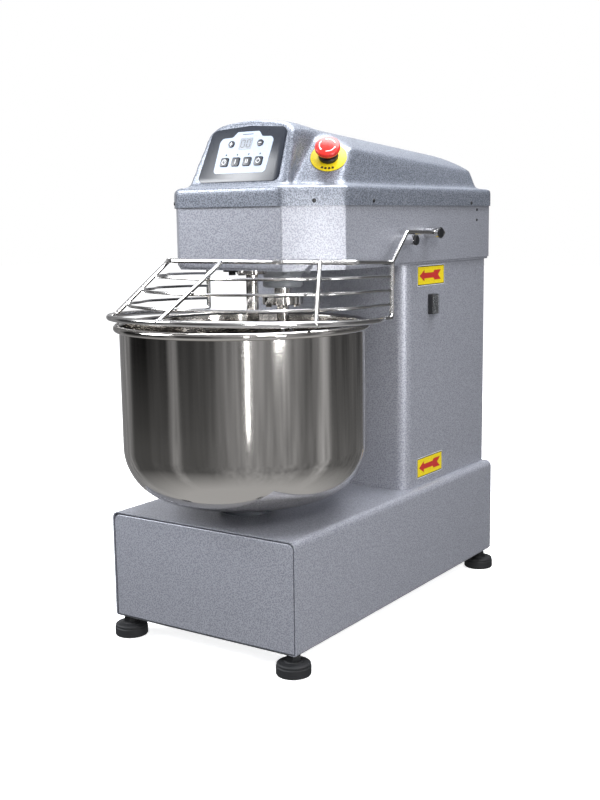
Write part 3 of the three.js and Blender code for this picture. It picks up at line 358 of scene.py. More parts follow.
def lathe(profile, steps=64):
    """A body of revolution about Z from a list of (radius, height)."""
    bm = bmesh.new()
    verts = [bm.verts.new((r, 0, z)) for r, z in profile]
    edges = [bm.edges.new(pair) for pair in zip(verts, verts[1:])]
    bmesh.ops.spin(
        bm, geom=verts + edges, cent=(0, 0, 0), axis=(0, 0, 1), angle=2 * math.pi, steps=steps, use_merge=True
    )
    bmesh.ops.remove_doubles(bm, verts=bm.verts, dist=1e-3)
    bmesh.ops.recalc_face_normals(bm, faces=bm.faces)
    return bm


def moved(bm, *matrices):
    """The same bmesh after one move or several, in that order."""
    for matrix in matrices:
        bmesh.ops.transform(bm, matrix=matrix, verts=bm.verts)
    return bm


def shift(x, y, z):
    return Matrix.Translation((x, y, z))


def turn(degrees, axis):
    return Matrix.Rotation(math.radians(degrees), 4, axis)


def frame_of(origin, x_axis, z_axis):
    """The matrix that puts a shape's X and Z along two directions, with its origin at a point."""
    z = Vector(z_axis).normalized()
    y = z.cross(Vector(x_axis)).normalized()
    x = y.cross(z)
    columns = Matrix((x, y, z)).transposed().to_4x4()
    return Matrix.Translation(origin) @ columns


def sideways(side, x, y, z):
    """The matrix that stands a shape on one side of the machine, with its Z pointing out."""
    return frame_of((side * x, y, z), (0, 1, 0), (side, 0, 0))


def joined(*parts):
    """One bmesh with the geometry of several."""
    bm = parts[0]
    for other in parts[1:]:
        mesh = bpy.data.meshes.new("joining")
        other.to_mesh(mesh)
        other.free()
        bm.from_mesh(mesh)
        bpy.data.meshes.remove(mesh)
    return bm


def evaluated(bm, *modifiers):
    """The bmesh after a list of (kind, settings) modifiers."""
    mesh = bpy.data.meshes.new("shaping")
    bm.to_mesh(mesh)
    bm.free()
    piece = bpy.data.objects.new("shaping", mesh)
    bpy.context.scene.collection.objects.link(piece)
    for kind, settings in modifiers:
        modifier = piece.modifiers.new(kind, kind)
        for name, value in settings.items():
            setattr(modifier, name, value)
    shaped = piece.evaluated_get(bpy.context.evaluated_depsgraph_get())
    out = bmesh.new()
    out.from_mesh(shaped.to_mesh())
    shaped.to_mesh_clear()
    bpy.data.objects.remove(piece)
    bpy.data.meshes.remove(mesh)
    return out


def rod(points, radius, closed=False, sides=12):
    """A round bar along a list of points, closed at its ends by caps."""
    curve = bpy.data.curves.new("bar", "CURVE")
    curve.dimensions = "3D"
    curve.bevel_depth = radius
    curve.bevel_resolution = max(1, sides // 4 - 1)
    curve.use_fill_caps = not closed
    line = curve.splines.new("POLY")
    line.points.add(len(points) - 1)
    line.use_cyclic_u = closed
    for point, place_of in zip(line.points, points):
        point.co = (*place_of, 1)
    holder = bpy.data.objects.new("bar", curve)
    bpy.context.scene.collection.objects.link(holder)
    mesh = bpy.data.meshes.new_from_object(holder.evaluated_get(bpy.context.evaluated_depsgraph_get()))
    bm = bmesh.new()
    bm.from_mesh(mesh)
    bmesh.ops.remove_doubles(bm, verts=bm.verts, dist=1e-3)
    bmesh.ops.recalc_face_normals(bm, faces=bm.faces)
    bpy.data.objects.remove(holder)
    bpy.data.curves.remove(curve)
    bpy.data.meshes.remove(mesh)
    return bm


def bent(points, radius, steps=6):
    """A route with each inner corner replaced by an arc of that bend radius, as long as its legs allow."""
    made = [points[0]]
    for before, corner, after in zip(points, points[1:], points[2:]):
        back = (before - corner).normalized()
        on = (after - corner).normalized()
        half = back.angle(on) / 2
        if half > math.radians(88.5):
            made.append(corner)
            continue
        reach = min(radius / math.tan(half), 0.45 * (before - corner).length, 0.45 * (after - corner).length)
        r = reach * math.tan(half)
        centre = corner + (back + on).normalized() * r / math.sin(half)
        start = corner + back * reach - centre
        end = corner + on * reach - centre
        spread = start.angle(end)
        for k in range(steps + 1):
            share = k / steps
            blend = start * math.sin((1 - share) * spread) + end * math.sin(share * spread)
            made.append(centre + blend / math.sin(spread))
    made.append(points[-1])
    return made


def weld(place_of, radius):
    """A small weld bead."""
    bm = bmesh.new()
    bmesh.ops.create_icosphere(bm, subdivisions=3, radius=radius)
    return moved(bm, Matrix.Translation(place_of))


def pan_screw(radius=4.0, height=2.6):
    """A pan head with a cross recess, standing on the XY plane."""
    head = lathe([(0, height), *arc((radius - height, 0), height, 90, 0, 6), (radius, -0.4), (0, -0.4)], 28)
    reach = 0.62 * radius
    half_slot = 0.5
    for across, along in ((reach, half_slot), (half_slot, reach)):
        head = carved(head, block(-across, across, -along, along, height - 0.9, height + 2))
    return head


def carved(bm, tool):
    """The first shape with the second cut out of it."""
    mesh = bpy.data.meshes.new("tool")
    tool.to_mesh(mesh)
    tool.free()
    cutter = bpy.data.objects.new("tool", mesh)
    bpy.context.scene.collection.objects.link(cutter)
    made = evaluated(bm, ("BOOLEAN", {"object": cutter, "operation": "DIFFERENCE", "solver": "EXACT"}))
    bpy.data.objects.remove(cutter)
    bpy.data.meshes.remove(mesh)
    return made


def folded_sheet(section, z0, z1, closed=False):
    """Sheet metal from its outside section in the XY plane, raised from z0 to z1 and thickened inwards."""
    bm = bmesh.new()
    verts = [bm.verts.new((x, y, z0)) for x, y in section]
    pairs = list(zip(verts, verts[1:]))
    if closed:
        pairs.append((verts[-1], verts[0]))
    edges = [bm.edges.new(pair) for pair in pairs]
    raised = bmesh.ops.extrude_edge_only(bm, edges=edges)["geom"]
    top = [g for g in raised if isinstance(g, bmesh.types.BMVert)]
    bmesh.ops.translate(bm, vec=(0, 0, z1 - z0), verts=top)
    bmesh.ops.recalc_face_normals(bm, faces=bm.faces)
    middle = Vector((sum(x for x, _ in section), sum(y for _, y in section))) / len(section)
    facing = 0
    for face in bm.faces:
        outwards = face.calc_center_median().to_2d() - middle
        facing += outwards.dot(face.normal.to_2d()) * face.calc_area()
    if facing < 0:
        bmesh.ops.reverse_faces(bm, faces=bm.faces)
    return evaluated(bm, ("SOLIDIFY", {"thickness": SHEET, "offset": -1, "use_even_offset": True}))


# ---------------------------------------------------------------- base
# The cover's bend radius along its top edges, and the width of its returns underneath.
BEND = 12.0
RETURN = 14.0
side_x = base_high.x


def make_base():
    # The folded cover: bottom returns, sides, the rounded long edges and the top, in the X-Z plane.
    half = [(side_x - RETURN, base_low.z), (side_x - 3, base_low.z), (side_x, base_low.z + 3)]
    half += arc((side_x - BEND, base_top - BEND), BEND, 0, 90, 8)
    cover = folded_sheet(both_sides(half), 0, base_high.y - base_low.y)
    cover = moved(cover, frame_of((0, base_high.y, 0), (1, 0, 0), (0, -1, 0)))
    inside = [(side_x - SHEET - GAP, base_low.z + SHEET), (side_x - SHEET - GAP, base_top - BEND)]
    inside += arc((side_x - BEND, base_top - BEND), BEND - SHEET - GAP, 0, 90, 6)
    rear = prism(both_sides(inside), 0, SHEET)
    rear = moved(rear, frame_of((0, base_high.y - 0.2, 0), (1, 0, 0), (0, -1, 0)))
    new_piece("base_cover", joined(cover, rear), "frame", "grey_hammertone", ["base_shell"])

    # The front panel sits just inside the cover's edge, with its own rounded fold.
    inset = 2.6
    depth = 9
    edge = [(side_x - SHEET - inset, base_low.z + 2), (side_x - SHEET - inset, base_top - BEND - inset)]
    edge += arc((side_x - BEND - inset, base_top - BEND - inset), BEND - SHEET, 0, 90, 6)
    panel = prism(both_sides(edge), 0, depth, 2.2, 3)
    moved(panel, frame_of((0, base_low.y + depth + 0.6, 0), (1, 0, 0), (0, -1, 0)))
    new_piece("base_front_panel_face", panel, "frame", "grey_hammertone", ["base_front_panel"])


def make_feet():
    """Rubber pads with two grooves, each on a threaded stud with a lock nut."""
    pad_top, nut_foot, nut_top = 24.2, 24.3, 33.0
    for side, _ in reversed(SIDES):
        for end in ("front", "rear"):
            low, high = place(f"foot_{end}_{side}")
            where = shift((low.x + high.x) / 2, (low.y + high.y) / 2, 0)
            r = (high.x - low.x) / 2
            pad = lathe([
                (0, 0), (r - 3.5, 0), (r - 1.2, 0.8), (r, 2.6), (r, 14.5), (r - 0.9, 15.4), (r - 1.6, 16.2),
                (r - 0.9, 17.0), (r - 1.0, 19.2), (r - 3, 21.0), (15, 22.2), (14, 23.5),
                (14, pad_top), (0, pad_top),
            ], 56)
            pad = moved(pad, where)
            new_piece(f"foot_pad_{end}_{side}", pad, "frame", "black_rubber", [f"foot_{end}_{side}"])
            nut = prism(circle(12.5, 6), nut_foot, nut_top, 0.9, 2)
            stud = lathe([(0, nut_foot), (7, nut_foot), (7, high.z), (0, high.z)], 24)
            stud = moved(joined(nut, stud), where)
            new_piece(f"foot_stud_{end}_{side}", stud, "frame", "black_plastic")


# ---------------------------------------------------------------- column
# The column's front corner radius.
CORNER = 22.0
# Louvres in the rear cover: how many, their pitch, the first one's depth, half their width and their roll.
LOUVRES, LOUVRE_PITCH, FIRST_LOUVRE, LOUVRE_HALF, LOUVRE_ROLL = 7, 16, 60, 86, 4.6
# The two labels on the column's right: from and to behind its front, and from and to above the floor.
LABELS = {"upper": (41.5, 147.5, 591, 628), "lower": (41.5, 142.5, 236, 274)}


def louvre(level):
    """The cover over one slot: the upper part of a flattened roll."""
    roll = bmesh.new()
    bmesh.ops.create_cone(
        roll, cap_ends=True, segments=24, radius1=LOUVRE_ROLL, radius2=LOUVRE_ROLL, depth=2 * LOUVRE_HALF
    )
    moved(roll, turn(90, "Y"), shift(0, level, 1.4))
    cut = bmesh.ops.bisect_plane(
        roll, geom=roll.verts[:] + roll.edges[:] + roll.faces[:], plane_co=(0, level - 0.6, 0),
        plane_no=(0, -1, 0), clear_outer=True,
    )["geom_cut"]
    bmesh.ops.edgeloop_fill(roll, edges=[g for g in cut if isinstance(g, bmesh.types.BMEdge)])
    bmesh.ops.scale(roll, vec=(1, 1, 0.5), verts=roll.verts)
    return roll


def make_column():
    low, high = column_low, column_high
    x, rear = high.x, high.y
    half = [(x - 16, rear - 2.2), (x - 3, rear - 2.2), (x, rear - 5)]
    half += arc((x - CORNER, low.y + CORNER), CORNER, 0, -90, 8)
    shell = folded_sheet(both_sides(half), low.z, high.z)
    new_piece("column_cover", shell, "frame", "grey_hammertone", ["column_shell"])

    low, high = place("column_rear_cover")
    back, edge = high.y, high.x
    plate = prism(rectangle(-edge, edge, low.z, high.z, 3), 0, 2, 0.6)
    levels = [high.z - FIRST_LOUVRE - LOUVRE_PITCH * i for i in range(LOUVRES)]
    for z in levels:
        plate = carved(plate, prism(rectangle(-LOUVRE_HALF, LOUVRE_HALF, z - 3, z + 3, 2.9), -4, 6))
    upright = frame_of((0, back - 2.05, 0), (-1, 0, 0), (0, 1, 0))
    new_piece("rear_cover_plate", moved(plate, upright), "frame", "grey_hammertone", ["column_rear_cover"])
    covers = joined(*[louvre(z + 2.6) for z in levels])
    new_piece("rear_cover_louvres", moved(covers, upright), "frame", "grey_hammertone")
    heights = (low.z + 14, (low.z + high.z) / 2, high.z - 14)
    spots = [(side * (edge - 9), z) for side in (-1, 1) for z in heights]
    for i, (x, z) in enumerate(spots, 1):
        screw = moved(pan_screw(), frame_of((x, back, z), (1, 0, 0), (0, 1, 0)))
        new_piece(f"rear_cover_screw_{i}", screw, "frame", "black_plastic")

    low, high = place("cable_gland")
    length = high.y - back
    nut = prism(circle(10, 6), 0, 0.5 * length, 0.8)
    dome = lathe([
        (0, 0.4), (8.6, 0.4), (8.6, 0.7 * length), (6.2, length), (4.2, length), (4.2, 0.6 * length),
        (0, 0.6 * length),
    ], 32)
    where = frame_of(((low.x + high.x) / 2, back + GAP, (low.z + high.z) / 2), (1, 0, 0), (0, 1, 0))
    gland = moved(joined(nut, dome), where)
    new_piece("gland_nut_and_dome", gland, "frame", "black_plastic", ["cable_gland"])


def make_stickers():
    """Turning-direction labels: a red arrow on yellow, with a black border and a white edge."""
    for name, (y0, y1, z0, z1) in LABELS.items():
        middle = (column_high.x, column_front + (y0 + y1) / 2, (z0 + z1) / 2)
        label = frame_of(middle, (0, 1, 0), (1, 0, 0))
        wide, tall = (y1 - y0) / 2, (z1 - z0) / 2
        layers = (("edge", 0.0, 2.6, "white"), ("border", 1.1, 1.6, "black"), ("field", 2.6, 0.8, None))
        for i, (part, inset, radius, ink) in enumerate(layers):
            w, t = wide - inset, tall - inset
            sheet = prism(rectangle(-w, w, -t, t, radius), 0.02 + 0.08 * i, 0.1 + 0.08 * i)
            new_piece(f"label_{name}_{part}", moved(sheet, label), "frame", "yellow_plate", ink=ink)
        tip, barb, fin, notch, tail = -wide + 8, -wide + 27, -wide + 62, -wide + 80, -wide + 90
        half = [(tip, 0), (barb, -10.5), (barb, -5), (fin, -5), (fin + 4, -9), (tail + 2, -9), (notch, 0)]
        arrow = half + [(x, -y) for x, y in reversed(half[1:-1])]
        arrow = moved(prism(arrow, 0.26, 0.34), label)
        new_piece(f"label_{name}_arrow", arrow, "frame", "yellow_plate", ink="red")


# ---------------------------------------------------------------- head
# The hood's skirt outside the head, the head's flat front, its chamfers, the shelf and the bezel's lean.
SKIRT_PROUD = 3.5
FRONT_HALF = 105.5
CHAMFER = 80.0
SHELF = 14.0
LEAN = math.radians(24.8)
chamfer_slope = CHAMFER / (head_side - FRONT_HALF)
shelf_z = skirt_bottom + 33.0
bezel_y = head_front + 22.0


def head_outline(out):
    """The head's plan, anticlockwise from the right rear, moved out by a distance."""
    grow = out * (math.hypot(1, chamfer_slope) - chamfer_slope)
    front_half = FRONT_HALF + grow
    corner_y = head_front - out + (head_side + out - front_half) * chamfer_slope
    side = head_side + out
    return both_sides([(front_half, head_front - out), (side, corner_y), (side, head_high.y + out)])


def make_head():
    section = rounded(head_outline(0), [5, 5, 4, 4, 5, 5], 4)
    shell = folded_sheet(section, head_bottom, head_high.z - 4, closed=True)
    new_piece("head_cover", shell, "frame", "grey_hammertone", ["head_shell"])


def hull(points):
    """The closed convex shape round points given for one side, and their mirror images."""
    bm = bmesh.new()
    for x, y, z in points:
        bm.verts.new((x, y, z))
        bm.verts.new((-x, y, z))
    bmesh.ops.remove_doubles(bm, verts=bm.verts, dist=1e-3)
    made = bmesh.ops.convex_hull(bm, input=bm.verts)
    loose = [g for g in made["geom_interior"] + made["geom_unused"] if isinstance(g, bmesh.types.BMVert)]
    bmesh.ops.delete(bm, geom=list(set(loose)), context="VERTS")
    bmesh.ops.recalc_face_normals(bm, faces=bm.faces)
    return bm


# The hood's raised part: bezel, nose and the wide body with its two facets.
NOSE = 86.0
NOSE_DEPTH = 146.0
CREASE_HALF = 150.0
CREASE_HEIGHT = 60.0
CREASE_FALL = math.radians(3.2)
ROOF_FALL = math.radians(3.8)
FACET_TURN, FACET_LEAN = math.radians(28), math.radians(39)
FACET_INNER = 78.0
BEZEL_HALF, BEZEL_TOP_HALF, SHOULDER, ARCH, CROWN = 103.0, 87.0, 97.0, 113.5, 121.5
upper_half = head_side - SHELF
facet_along = Vector((math.cos(FACET_TURN), math.sin(FACET_TURN), 0))
facet_out = facet_along.cross(Vector((0, 0, 1))) * math.cos(FACET_LEAN) + Vector((0, 0, math.sin(FACET_LEAN)))
facet_foot = Vector((upper_half, head_front + 92.5, shelf_z))


def facet_y(x, height):
    """How far back the facet lies at a place across and a height above the shelf."""
    return facet_foot.y - (facet_out.x * (x - facet_foot.x) + facet_out.z * height) / facet_out.y


def roof_height(x, y):
    """The roof's height above the shelf: crowned across, and falling a little towards the rear."""
    crease = CREASE_HEIGHT - (y - facet_y(CREASE_HALF, CREASE_HEIGHT)) * math.tan(CREASE_FALL)
    crown = CROWN * math.cos(LEAN) - (y - bezel_y - CROWN * math.sin(LEAN)) * math.tan(ROOF_FALL)
    return crease + (crown - crease) * (1 - (x / CREASE_HALF) ** 2)


def bezel_point(x, s, off=0.0):
    """A point of the bezel: x across, s up it, off out of it."""
    y = bezel_y + s * math.sin(LEAN) - off * math.cos(LEAN)
    return Vector((x, y, shelf_z + s * math.cos(LEAN) + off * math.sin(LEAN)))


def make_hood():
    """One moulding: bezel, nose, wide body and skirt, melted into each other with soft inner corners."""
    outline = [(BEZEL_HALF, 0), (BEZEL_TOP_HALF, SHOULDER)]
    outline.append((0.93 * BEZEL_TOP_HALF, 0.6 * SHOULDER + 0.4 * ARCH))
    for share in (0.8, 0.68, 0.55, 0.42, 0.3, 0.15, 0):
        outline.append((share * BEZEL_TOP_HALF, CROWN - (CROWN - ARCH) * (share / 0.8) ** 2))
    foot = shelf_z - 8
    bezel = []
    for x, s in outline:
        here = bezel_point(x, s)
        bezel += [here, Vector((min(x, NOSE), here.y + 30, here.z))]
    bezel += [Vector((BEZEL_HALF, bezel_y, foot)), Vector((NOSE, bezel_y + 30, foot))]

    nose_rear = bezel_y + NOSE_DEPTH
    nose = []
    for x, s in outline[1:]:
        here = bezel_point(x, s)
        nose.append(Vector((min(x, NOSE), here.y + 28, here.z)))
    nose += [Vector((NOSE, bezel_y + 28, foot)), Vector((NOSE, nose_rear, foot))]
    for x in [share * NOSE for share in (1, 0.8, 0.6, 0.4, 0.2, 0)]:
        nose.append(Vector((x, nose_rear, shelf_z + roof_height(x, nose_rear))))

    rear = head_high.y - 22
    wide = [
        Vector((upper_half, facet_y(upper_half, -8), foot)),
        Vector((NOSE, facet_y(NOSE, -8), foot)),
        Vector((NOSE, facet_y(NOSE, FACET_INNER), shelf_z + FACET_INNER)),
        Vector((CREASE_HALF, facet_y(CREASE_HALF, CREASE_HEIGHT), shelf_z + CREASE_HEIGHT)),
        Vector((upper_half, rear, foot)),
    ]
    for y in (nose_rear, rear - 10):
        for x in [CREASE_HALF * i / 8 for i in range(9)]:
            wide.append(Vector((x, y, shelf_z + roof_height(x, y))))

    # The skirt starts too low and is cut level after the melting, so that its lower edge stays crisp.
    skirt = prism(rounded(head_outline(SKIRT_PROUD), [7, 7, 6, 6, 7, 7], 4), skirt_bottom - 20, shelf_z)
    fine = 3.4
    solid = evaluated(
        joined(hull(bezel), hull(nose), hull(wide), skirt),
        ("REMESH", {"mode": "VOXEL", "voxel_size": fine, "adaptivity": 0.0}),
        ("SMOOTH", {"factor": 0.5, "iterations": round(90 / fine)}),
    )
    bmesh.ops.bisect_plane(
        solid, geom=solid.verts[:] + solid.edges[:] + solid.faces[:], plane_co=(0, 0, skirt_bottom),
        plane_no=(0, 0, -1), clear_outer=True,
    )
    bmesh.ops.recalc_face_normals(solid, faces=solid.faces)
    tallest = max(solid.faces, key=lambda f: f.calc_center_median().z)
    if tallest.normal.z < 0:
        bmesh.ops.reverse_faces(solid, faces=solid.faces)
    solid = evaluated(solid, ("SOLIDIFY", {"thickness": 2.5, "offset": -1}))
    finished("hood_moulding", solid, "frame", "dark_hammertone", ["hood"], sharp=60)


# Screws in each side of the head: how far they stand proud, their place back and up, and their heads' radius.
SIDE_SCREWS = (
    (SKIRT_PROUD, -57, 742.6, 3.4),
    (SKIRT_PROUD, 312.5, 740, 3.4),
    (0, 343.9, 727.7, 2.6),
    (0, 343.9, 708.1, 2.6),
)


def make_head_screws():
    for i, (proud, y, z, radius) in enumerate(SIDE_SCREWS, 1):
        for name, side in SIDES:
            screw = moved(pan_screw(radius, 2.0), sideways(side, head_side + proud, y, z))
            new_piece(f"head_screw_{name}_{i}", screw, "frame", "black_plastic")
    out = Vector((chamfer_slope, -1, 0)).normalized()
    for name, side in SIDES:
        at = Vector((side * (FRONT_HALF + head_side) / 2, head_front + CHAMFER / 2, skirt_bottom + 8))
        way = Vector((side * out.x, out.y, 0))
        screw = moved(pan_screw(3.4, 2.0), frame_of(at + way * SKIRT_PROUD, (0, 0, 1), way))
        new_piece(f"chamfer_screw_{name}", screw, "frame", "black_plastic")
    # A small plate under the tray, held by two nuts.
    plate_foot, nut_height = 627.0, 6.0
    plate = block(-46, -10, -176, -146, plate_foot, plate_foot + 4.5, 1.0)
    for x in (-38, -18):
        nut = prism(circle(6.5, 6), 0, nut_height, 0.7)
        plate = joined(plate, moved(nut, shift(x, -161, plate_foot - nut_height)))
    new_piece("tray_fixing_plate", plate, "frame", "black_plastic")


# ---------------------------------------------------------------- control panel
# Heights above the bezel: the film's top, the printed field's top, and each key's underside and crown.
FILM, FIELD, KEY_UNDER, KEY_TOP = 1.5, 1.75, 2.15, 3.3
INK = 0.12
KEYS = ("timer", "slow", "fast", "start_stop", "plus", "minus")


def on_bezel(bm, off=0.0):
    """Moves a shape drawn as x across and y up onto the bezel, at a height above it."""
    up = Vector((0, math.sin(LEAN), math.cos(LEAN)))
    out = Vector((0, -math.cos(LEAN), math.sin(LEAN)))
    facing = Matrix((Vector((1, 0, 0)), up, out)).transposed().to_4x4()
    return moved(bm, Matrix.Translation(bezel_point(0, 0, off)) @ facing)


def ring_flat(outer, inner, z0, z1):
    return lathe([(inner, z0), (outer, z0), (outer, z1), (inner, z1), (inner, z0)], 32)


def zero_digit(x, y, wide, tall, z0, z1):
    """A nought made of the six outer segments of a display digit."""
    t = 0.16 * wide
    left, right, half = x - wide / 2, x + wide / 2, tall / 2
    made = []
    for level in (y + half, y - half):
        made.append(block(left + t, right - t, level - t / 2, level + t / 2, z0, z1))
    for foot in (y, y - half):
        for upright in (left, right):
            made.append(block(upright - t / 2, upright + t / 2, foot + t / 2, foot + half - t / 2, z0, z1))
    return made


def key_outline(name, room=0.0):
    """A key's place across and up the bezel, and its outline grown by some room."""
    low, high = place("key_" + name)
    centre = (low + high) / 2
    size = high.x - low.x
    half = size / 2 + room
    local = centre - bezel_point(0, 0)
    up = local.y * math.sin(LEAN) + local.z * math.cos(LEAN)
    radius = half - 0.05 if size < 14 else 3.2 + room
    return centre.x, up, rectangle(-half, half, -half, half, radius, 8)


def make_panel():
    half, top_half, bottom, top = 83.0, 76.0, 8.0, 104.0
    outline = [(-half, bottom), (half, bottom), (top_half, top), (0, top + 6), (-top_half, top)]
    film = on_bezel(prism(rounded(outline, [11, 11, 12, 60, 12], 8), 0.6, FILM, 0.4))
    new_piece("overlay_film", film, "frame", "panel_film", ["panel_overlay"])

    pad = [(-53, 23.5), (53, 23.5), (55, 88), (30, 89), (22, 99), (-22, 99), (-30, 89), (-55, 88)]
    keypad = prism(rounded(pad, [7, 7, 9, 6, 5, 5, 6, 9], 6), FILM, FIELD, 0.1, 1)
    for key in KEYS:
        x, s, opening = key_outline(key, 0.35)
        keypad = carved(keypad, moved(prism(opening, FILM - 0.2, FIELD + 0.25), shift(x, s, 0)))
    new_piece("keypad_field", on_bezel(keypad), "frame", "panel_film", ink="keypad")

    window_top = FIELD + 0.25
    window = on_bezel(prism(rectangle(-13, 13, 66.3, 87.3, 1.5), FIELD, window_top))
    new_piece("display_window", window, "frame", "panel_film", ink="display")
    digits = []
    for x in (-5.8, 5.8):
        digits += zero_digit(x, 76.8, 7.0, 13.0, window_top, window_top + INK)
    new_piece("display_digits", on_bezel(joined(*digits)), "frame", "panel_film", ink="black")
    lamps = []
    for x in (-34.8, -11.6, 11.6, 34.8):
        lens = lathe([(0, 2.3), (1.0, 2.25), (1.7, FIELD), (0, FIELD)], 20)
        lamps.append(moved(lens, shift(x, 57.2, 0)))
    new_piece("lamps", on_bezel(joined(*lamps)), "frame", "panel_film", ink="lamp")
    # A plain ruled line on the field's tab.
    rule = on_bezel(block(-11, 11, 93.4, 94.6, FIELD, FIELD + 0.1))
    new_piece("tab_rule", rule, "frame", "panel_film", ink="black")


def make_keys():
    """Domed key caps, each with its sign: clock, one bar, two bars, power ring, plus and minus."""
    clock_hands = [block(-0.45, 0.45, 0, 2.9, 0, INK), block(0, 2.3, -0.45, 0.45, 0, INK)]
    signs = {
        "timer": [ring_flat(4.6, 3.6, 0, INK), *clock_hands],
        "slow": [block(-0.7, 0.7, -3.6, 3.6, 0, INK)],
        "fast": [block(-2.4, -1.0, -3.6, 3.6, 0, INK), block(1.0, 2.4, -3.6, 3.6, 0, INK)],
        "start_stop": [ring_flat(4.2, 3.2, 0, INK), block(-0.5, 0.5, 1.2, 5.2, 0, INK + 0.02)],
        "plus": [block(-3.1, 3.1, -0.6, 0.6, 0, INK), block(-0.6, 0.6, -3.1, 3.1, 0, INK + 0.01)],
        "minus": [block(-3.1, 3.1, -0.6, 0.6, 0, INK)],
    }
    for name in KEYS:
        x, s, outline = key_outline(name)
        cap = on_bezel(moved(prism(outline, KEY_UNDER, KEY_TOP, 0.7, 4), shift(x, s, 0)))
        new_piece("cap_" + name, cap, "key_" + name, "key_film", ["key_" + name])
        mark = on_bezel(moved(joined(*signs[name]), shift(x, s, KEY_TOP)))
        new_piece("mark_" + name, mark, "key_" + name, "key_film", ink="white")


# ---------------------------------------------------------------- emergency stop
# The stop's place on the right facet: inwards from its outer foot and up it, and its cap's underside.
STOP_INWARD, STOP_UP = 25.2, 58.0
CAP_FOOT = 16.1
stop_centre = facet_foot - facet_along * STOP_INWARD + facet_out.cross(facet_along) * STOP_UP
stop_frame = frame_of(stop_centre, facet_along, facet_out)


def arc_mark(radius, start, end, wide, z, thick=0.12):
    """A flat curved band between two angles, standing on height z."""
    outer = arc((0, 0), radius + wide / 2, start, end, 12)
    inner = arc((0, 0), radius - wide / 2, end, start, 12)
    return prism(outer + inner, z, z + thick)


def make_stop():
    """The yellow plate, the collar and the red mushroom head with its turning marks."""
    plate_top = 1.7
    plate = prism(circle(30, 96), GAP, plate_top, 0.4)
    new_piece("stop_legend_plate", moved(plate, stop_frame), "frame", "yellow_plate", ["e_stop_plate"])
    # Short dashes round the plate stand in for its printed words.
    dashes = [arc_mark(24.4, a, a + 9, 4.2, plate_top) for a in (-118, -104, -90, -76, 62, 76, 90, 104)]
    new_piece("stop_legend_dashes", moved(joined(*dashes), stop_frame), "frame", "yellow_plate", ink="black")
    collar = lathe([
        (7, -24), (11, -24), (11, 2.1), (15.8, 2.1), (16.4, 2.8), (16.4, 8.6), (15.4, 9.9), (7, 9.9),
        (7, -24),
    ], 56)
    new_piece("stop_collar_ring", moved(collar, stop_frame), "frame", "black_plastic", ["e_stop_collar"])
    base = CAP_FOOT
    cap = lathe([
        (6.4, base + 4), (6.4, base), (15.5, base), (17, base + 0.8), (17.6, base + 3.4), (20.0, base + 4.2),
        *arc((18.8, base + 7.4), 2.2, -40, 40, 5), *arc((17.6, base + 9.2), 3.6, 30, 78, 5),
        (12, base + 14.0), (6, base + 14.7), (0, base + 14.9), (0, base + 4), (6.4, base + 4),
    ], 72)
    new_piece("stop_mushroom", moved(cap, stop_frame), "e_stop_head", "red_plastic", ["e_stop_head"])
    path, mark_foot = 13.0, base + 13.55
    marks = []
    for start in (20, 140, 260):
        marks.append(arc_mark(path, start, start + 76, 1.7, mark_foot, 0.4))
        tip = math.radians(start + 78)
        dot = prism(circle(1.7, 20), mark_foot, base + 14.0)
        marks.append(moved(dot, shift(path * math.cos(tip), path * math.sin(tip), 0)))
    new_piece("stop_turn_marks", moved(joined(*marks), stop_frame), "e_stop_head", "red_plastic", ink="white")


# ---------------------------------------------------------------- power switch
# The height of the rocker's pivot, and its face's slope at rest.
ROCKER_PIVOT = 556.5
ROCKER_TILT = math.tan(math.radians(20))


def make_switch():
    """The switch's bezel, its rocker tilted to off, and the clear splash flap over it."""
    low, high = place("switch_frame")
    x = column_high.x + GAP
    y, z = (low.y + high.y) / 2, (low.z + high.z) / 2
    half_y, half_z = (high.y - low.y) / 2, (high.z - low.z) / 2
    wall = 4.7
    inner_y, inner_z = half_y - wall, half_z - wall
    outer = prism(rectangle(-half_y, half_y, -half_z, half_z, 2.5), 0, high.x - x, 1.2, 3)
    bezel = carved(outer, prism(rectangle(-inner_y, inner_y, -inner_z, inner_z, 1), -2, 30))
    well = block(-inner_y - 0.5, inner_y + 0.5, -inner_z - 0.5, inner_z + 0.5, -16, -14)
    bezel = moved(joined(bezel, well), frame_of((x, y, z), (0, 1, 0), (1, 0, 0)))
    new_piece("switch_bezel", bezel, "frame", "black_plastic", ["switch_frame"])

    low, high = place("switch_rocker")
    wide = (high.y - low.y) / 2
    long_z = min(high.z - ROCKER_PIVOT, ROCKER_PIVOT - low.z)
    face = high.x
    back = face - 10
    top = face - long_z * ROCKER_TILT + 2
    outline = [(back, long_z * 0.6), (top, long_z * 0.94)]
    outline += [(top + (face - top) * t, long_z * 0.94 * (1 - t)) for t in (0.35, 0.7)]
    outline += [(face, 0), (face - 0.2, -long_z * 0.5), (face - 0.6, -long_z * 0.96), (back, -long_z * 0.6)]
    rocker = prism(outline, -wide, wide)
    round_off(rocker, [e for e in rocker.edges if abs(e.verts[0].co.z - e.verts[1].co.z) < 0.01], 0.5, 2)
    moved(rocker, frame_of((0, (low.y + high.y) / 2, ROCKER_PIVOT), (1, 0, 0), (0, -1, 0)))
    new_piece("switch_rocker_cap", rocker, "switch_rocker", "black_plastic", ["switch_rocker"])
    mark = block(face - 0.35, face + 0.02, y - 0.5, y + 0.5, ROCKER_PIVOT - 8.5, ROCKER_PIVOT - 4.5)
    new_piece("switch_on_mark", mark, "switch_rocker", "black_plastic", ink="white")

    low, high = place("switch_flap")
    flap = block(low.x, high.x, low.y, high.y, low.z, high.z, 0.6, 3)
    new_piece("switch_clear_flap", flap, "switch_flap", "clear_plastic", ["switch_flap"])


